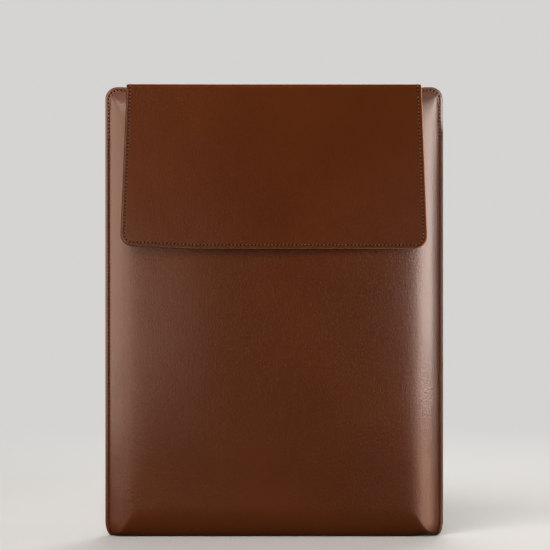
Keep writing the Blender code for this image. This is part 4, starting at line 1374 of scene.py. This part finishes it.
# --- lights ----------------------------------------------------------------------------------
def area_light(name, azimuth, elevation, distance, size, radiance, colour, target=(0, 0, 0.18)):
    """A soft box at an azimuth from the front (+ to the right) and an elevation, in degrees."""
    turn, tilt = math.radians(azimuth), math.radians(elevation)
    data = bpy.data.lights.new(name, "AREA")
    data.shape = "RECTANGLE"
    data.size, data.size_y = size
    data.energy = radiance * math.pi * size[0] * size[1]
    data.color = colour
    obj = bpy.data.objects.new(name, data)
    aim = Vector(target)
    towards = Vector((math.sin(turn) * math.cos(tilt), -math.cos(turn) * math.cos(tilt),
                      math.sin(tilt)))
    obj.location = aim + distance * towards
    obj.rotation_euler = (aim - obj.location).to_track_quat("-Z", "Y").to_euler()
    bpy.context.scene.collection.objects.link(obj)
    return obj


# Boxes seen only in reflections above the front: name, elevation, size, radiance.
SKY_BOXES = [
    ("sky_low", 48, (2.6, 0.5), 1.15),
    ("sky_high", 74, (2.6, 0.7), 0.9),
]
# Upright boxes beside the sleeve, mirrored in its rounded sides; each is a few strips so that
# its edges fade. Name, azimuth, half its angle, radiance, lowest z, highest z, flagged off the
# strap.
STRIP_DISTANCE = 0.75
STRIP_X = 0.115                                             # the side edge the strips aim at
RIGHT_STRIPS = [
    ("right_core", 50, 22, 7.4, 0.06, 0.46, True),
    ("right_crown", 50, 22, 4.2, 0.46, 0.58, True),
    ("right_haze", 50, 22, 1.9, 0.58, 0.95, True),
    ("right_inner", 24, 4, 2.7, 0.0, 0.24, True),
    ("right_inner_top", 24, 4, 4.6, 0.24, 0.85, True),
    ("right_feather", 15, 5, 1.1, 0.0, 0.26, False),
    ("right_outer", 83, 9, 1.9, 0.0, 0.35, False),
    ("right_outer_low", 83, 9, 3.8, 0.35, 0.359, True),
    ("right_outer_mid", 83, 9, 6.0, 0.359, 0.368, True),
    ("right_outer_top", 83, 9, 8.5, 0.368, 0.85, True),
]
LEFT_STRIPS = [
    ("left_crown", -62, 40, 1.5, 0.60, 1.0, True),
    ("left_core", -72, 30, 2.75, 0.0, 0.60, False),
    ("left_inner", -31, 10, 2.3, 0.0, 0.85, False),
    ("left_feather", -12, 9, 1.5, 0.0, 0.26, False),
]
# Boxes that leave no glare: name, azimuth, elevation, distance, size, radiance, colour.
SOFT_BOXES = [
    ("over_front", -24, 54, 1.6, (1.0, 0.6), 10.0, (1.0, 0.97, 0.94)),
    ("soft_left", -42, 14, 1.5, (1.2, 0.8), 3.6, (1.0, 0.96, 0.92)),
    ("soft_right", 50, 12, 1.5, (1.2, 0.8), 0.7, (1.0, 0.96, 0.93)),
    ("kicker_right", 88, 4, 1.0, (0.35, 0.7), 8.0, (1.0, 0.94, 0.88)),
    ("overhead", 180, 66, 2.0, (1.8, 1.4), 1.6, (1.0, 0.985, 0.97)),
    ("back_fill", 172, 24, 1.7, (1.4, 0.9), 4.5, (1.0, 0.97, 0.94)),
]

off_strap = []
for name, elevation, size, radiance in SKY_BOXES:
    lamp = area_light(name, 0, elevation, 1.3, size, radiance, colour=(1.0, 0.90, 0.86))
    lamp.visible_diffuse = False
    off_strap.append(lamp)
for strips, edge, colour in ((RIGHT_STRIPS, STRIP_X, (1.0, 0.96, 0.98)),
                             (LEFT_STRIPS, -STRIP_X, (1.0, 0.83, 0.74))):
    for name, azimuth, half, radiance, low, high, is_flagged in strips:
        width = 2 * STRIP_DISTANCE * math.tan(math.radians(half))
        lamp = area_light(name, azimuth, 0, STRIP_DISTANCE, (width, high - low), radiance, colour,
                          target=(edge, 0, (low + high) / 2))
        lamp.visible_diffuse = False
        if is_flagged:
            off_strap.append(lamp)
for entry in SOFT_BOXES:
    area_light(*entry).visible_glossy = False
area_light("box_back", azimuth=160, elevation=22, distance=1.9, size=(1.6, 1.2), radiance=2.4,
           colour=(1.0, 0.98, 0.96))

# The bright boxes are flagged off the strap, whose flat top would otherwise mirror them edge-on.
# A lamp from the right, just behind the flap's plane, lights the strap's leather alone.
flagged = bpy.data.collections.new("flagged")
edged = bpy.data.collections.new("edged")
for obj in bpy.context.scene.objects:
    if obj.type == "MESH" and obj.name.startswith(("strap", "flap", "bridge")):
        flagged.objects.link(obj)
        if obj.name.startswith("strap_leather"):
            edged.objects.link(obj)
for collection, state in ((flagged, "EXCLUDE"), (edged, "INCLUDE")):
    for entry in collection.collection_objects:
        entry.light_linking.link_state = state
for lamp in off_strap:
    lamp.light_linking.receiver_collection = flagged
rim_lamp = area_light("rim_right", azimuth=97, elevation=-17, distance=0.6, size=(0.14, 0.2),
                      radiance=85.0, colour=(1.0, 0.95, 0.88), target=(0.1, -0.012, 0.25))
rim_lamp.visible_glossy = False
rim_lamp.light_linking.receiver_collection = edged

# --- camera ----------------------------------------------------------------------------------
bpy.context.scene.view_settings.view_transform = "Standard"
bpy.context.scene.view_settings.look = "None"

camera = bpy.data.cameras.new("camera")
camera.sensor_width = 36.0
camera.lens = 114.7
camera_obj = bpy.data.objects.new("camera", camera)
camera_obj.location = (0.0007, -1.3, 0.193)
camera_obj.rotation_euler = (QUARTER, 0, 0)
bpy.context.scene.collection.objects.link(camera_obj)
bpy.context.scene.camera = camera_obj
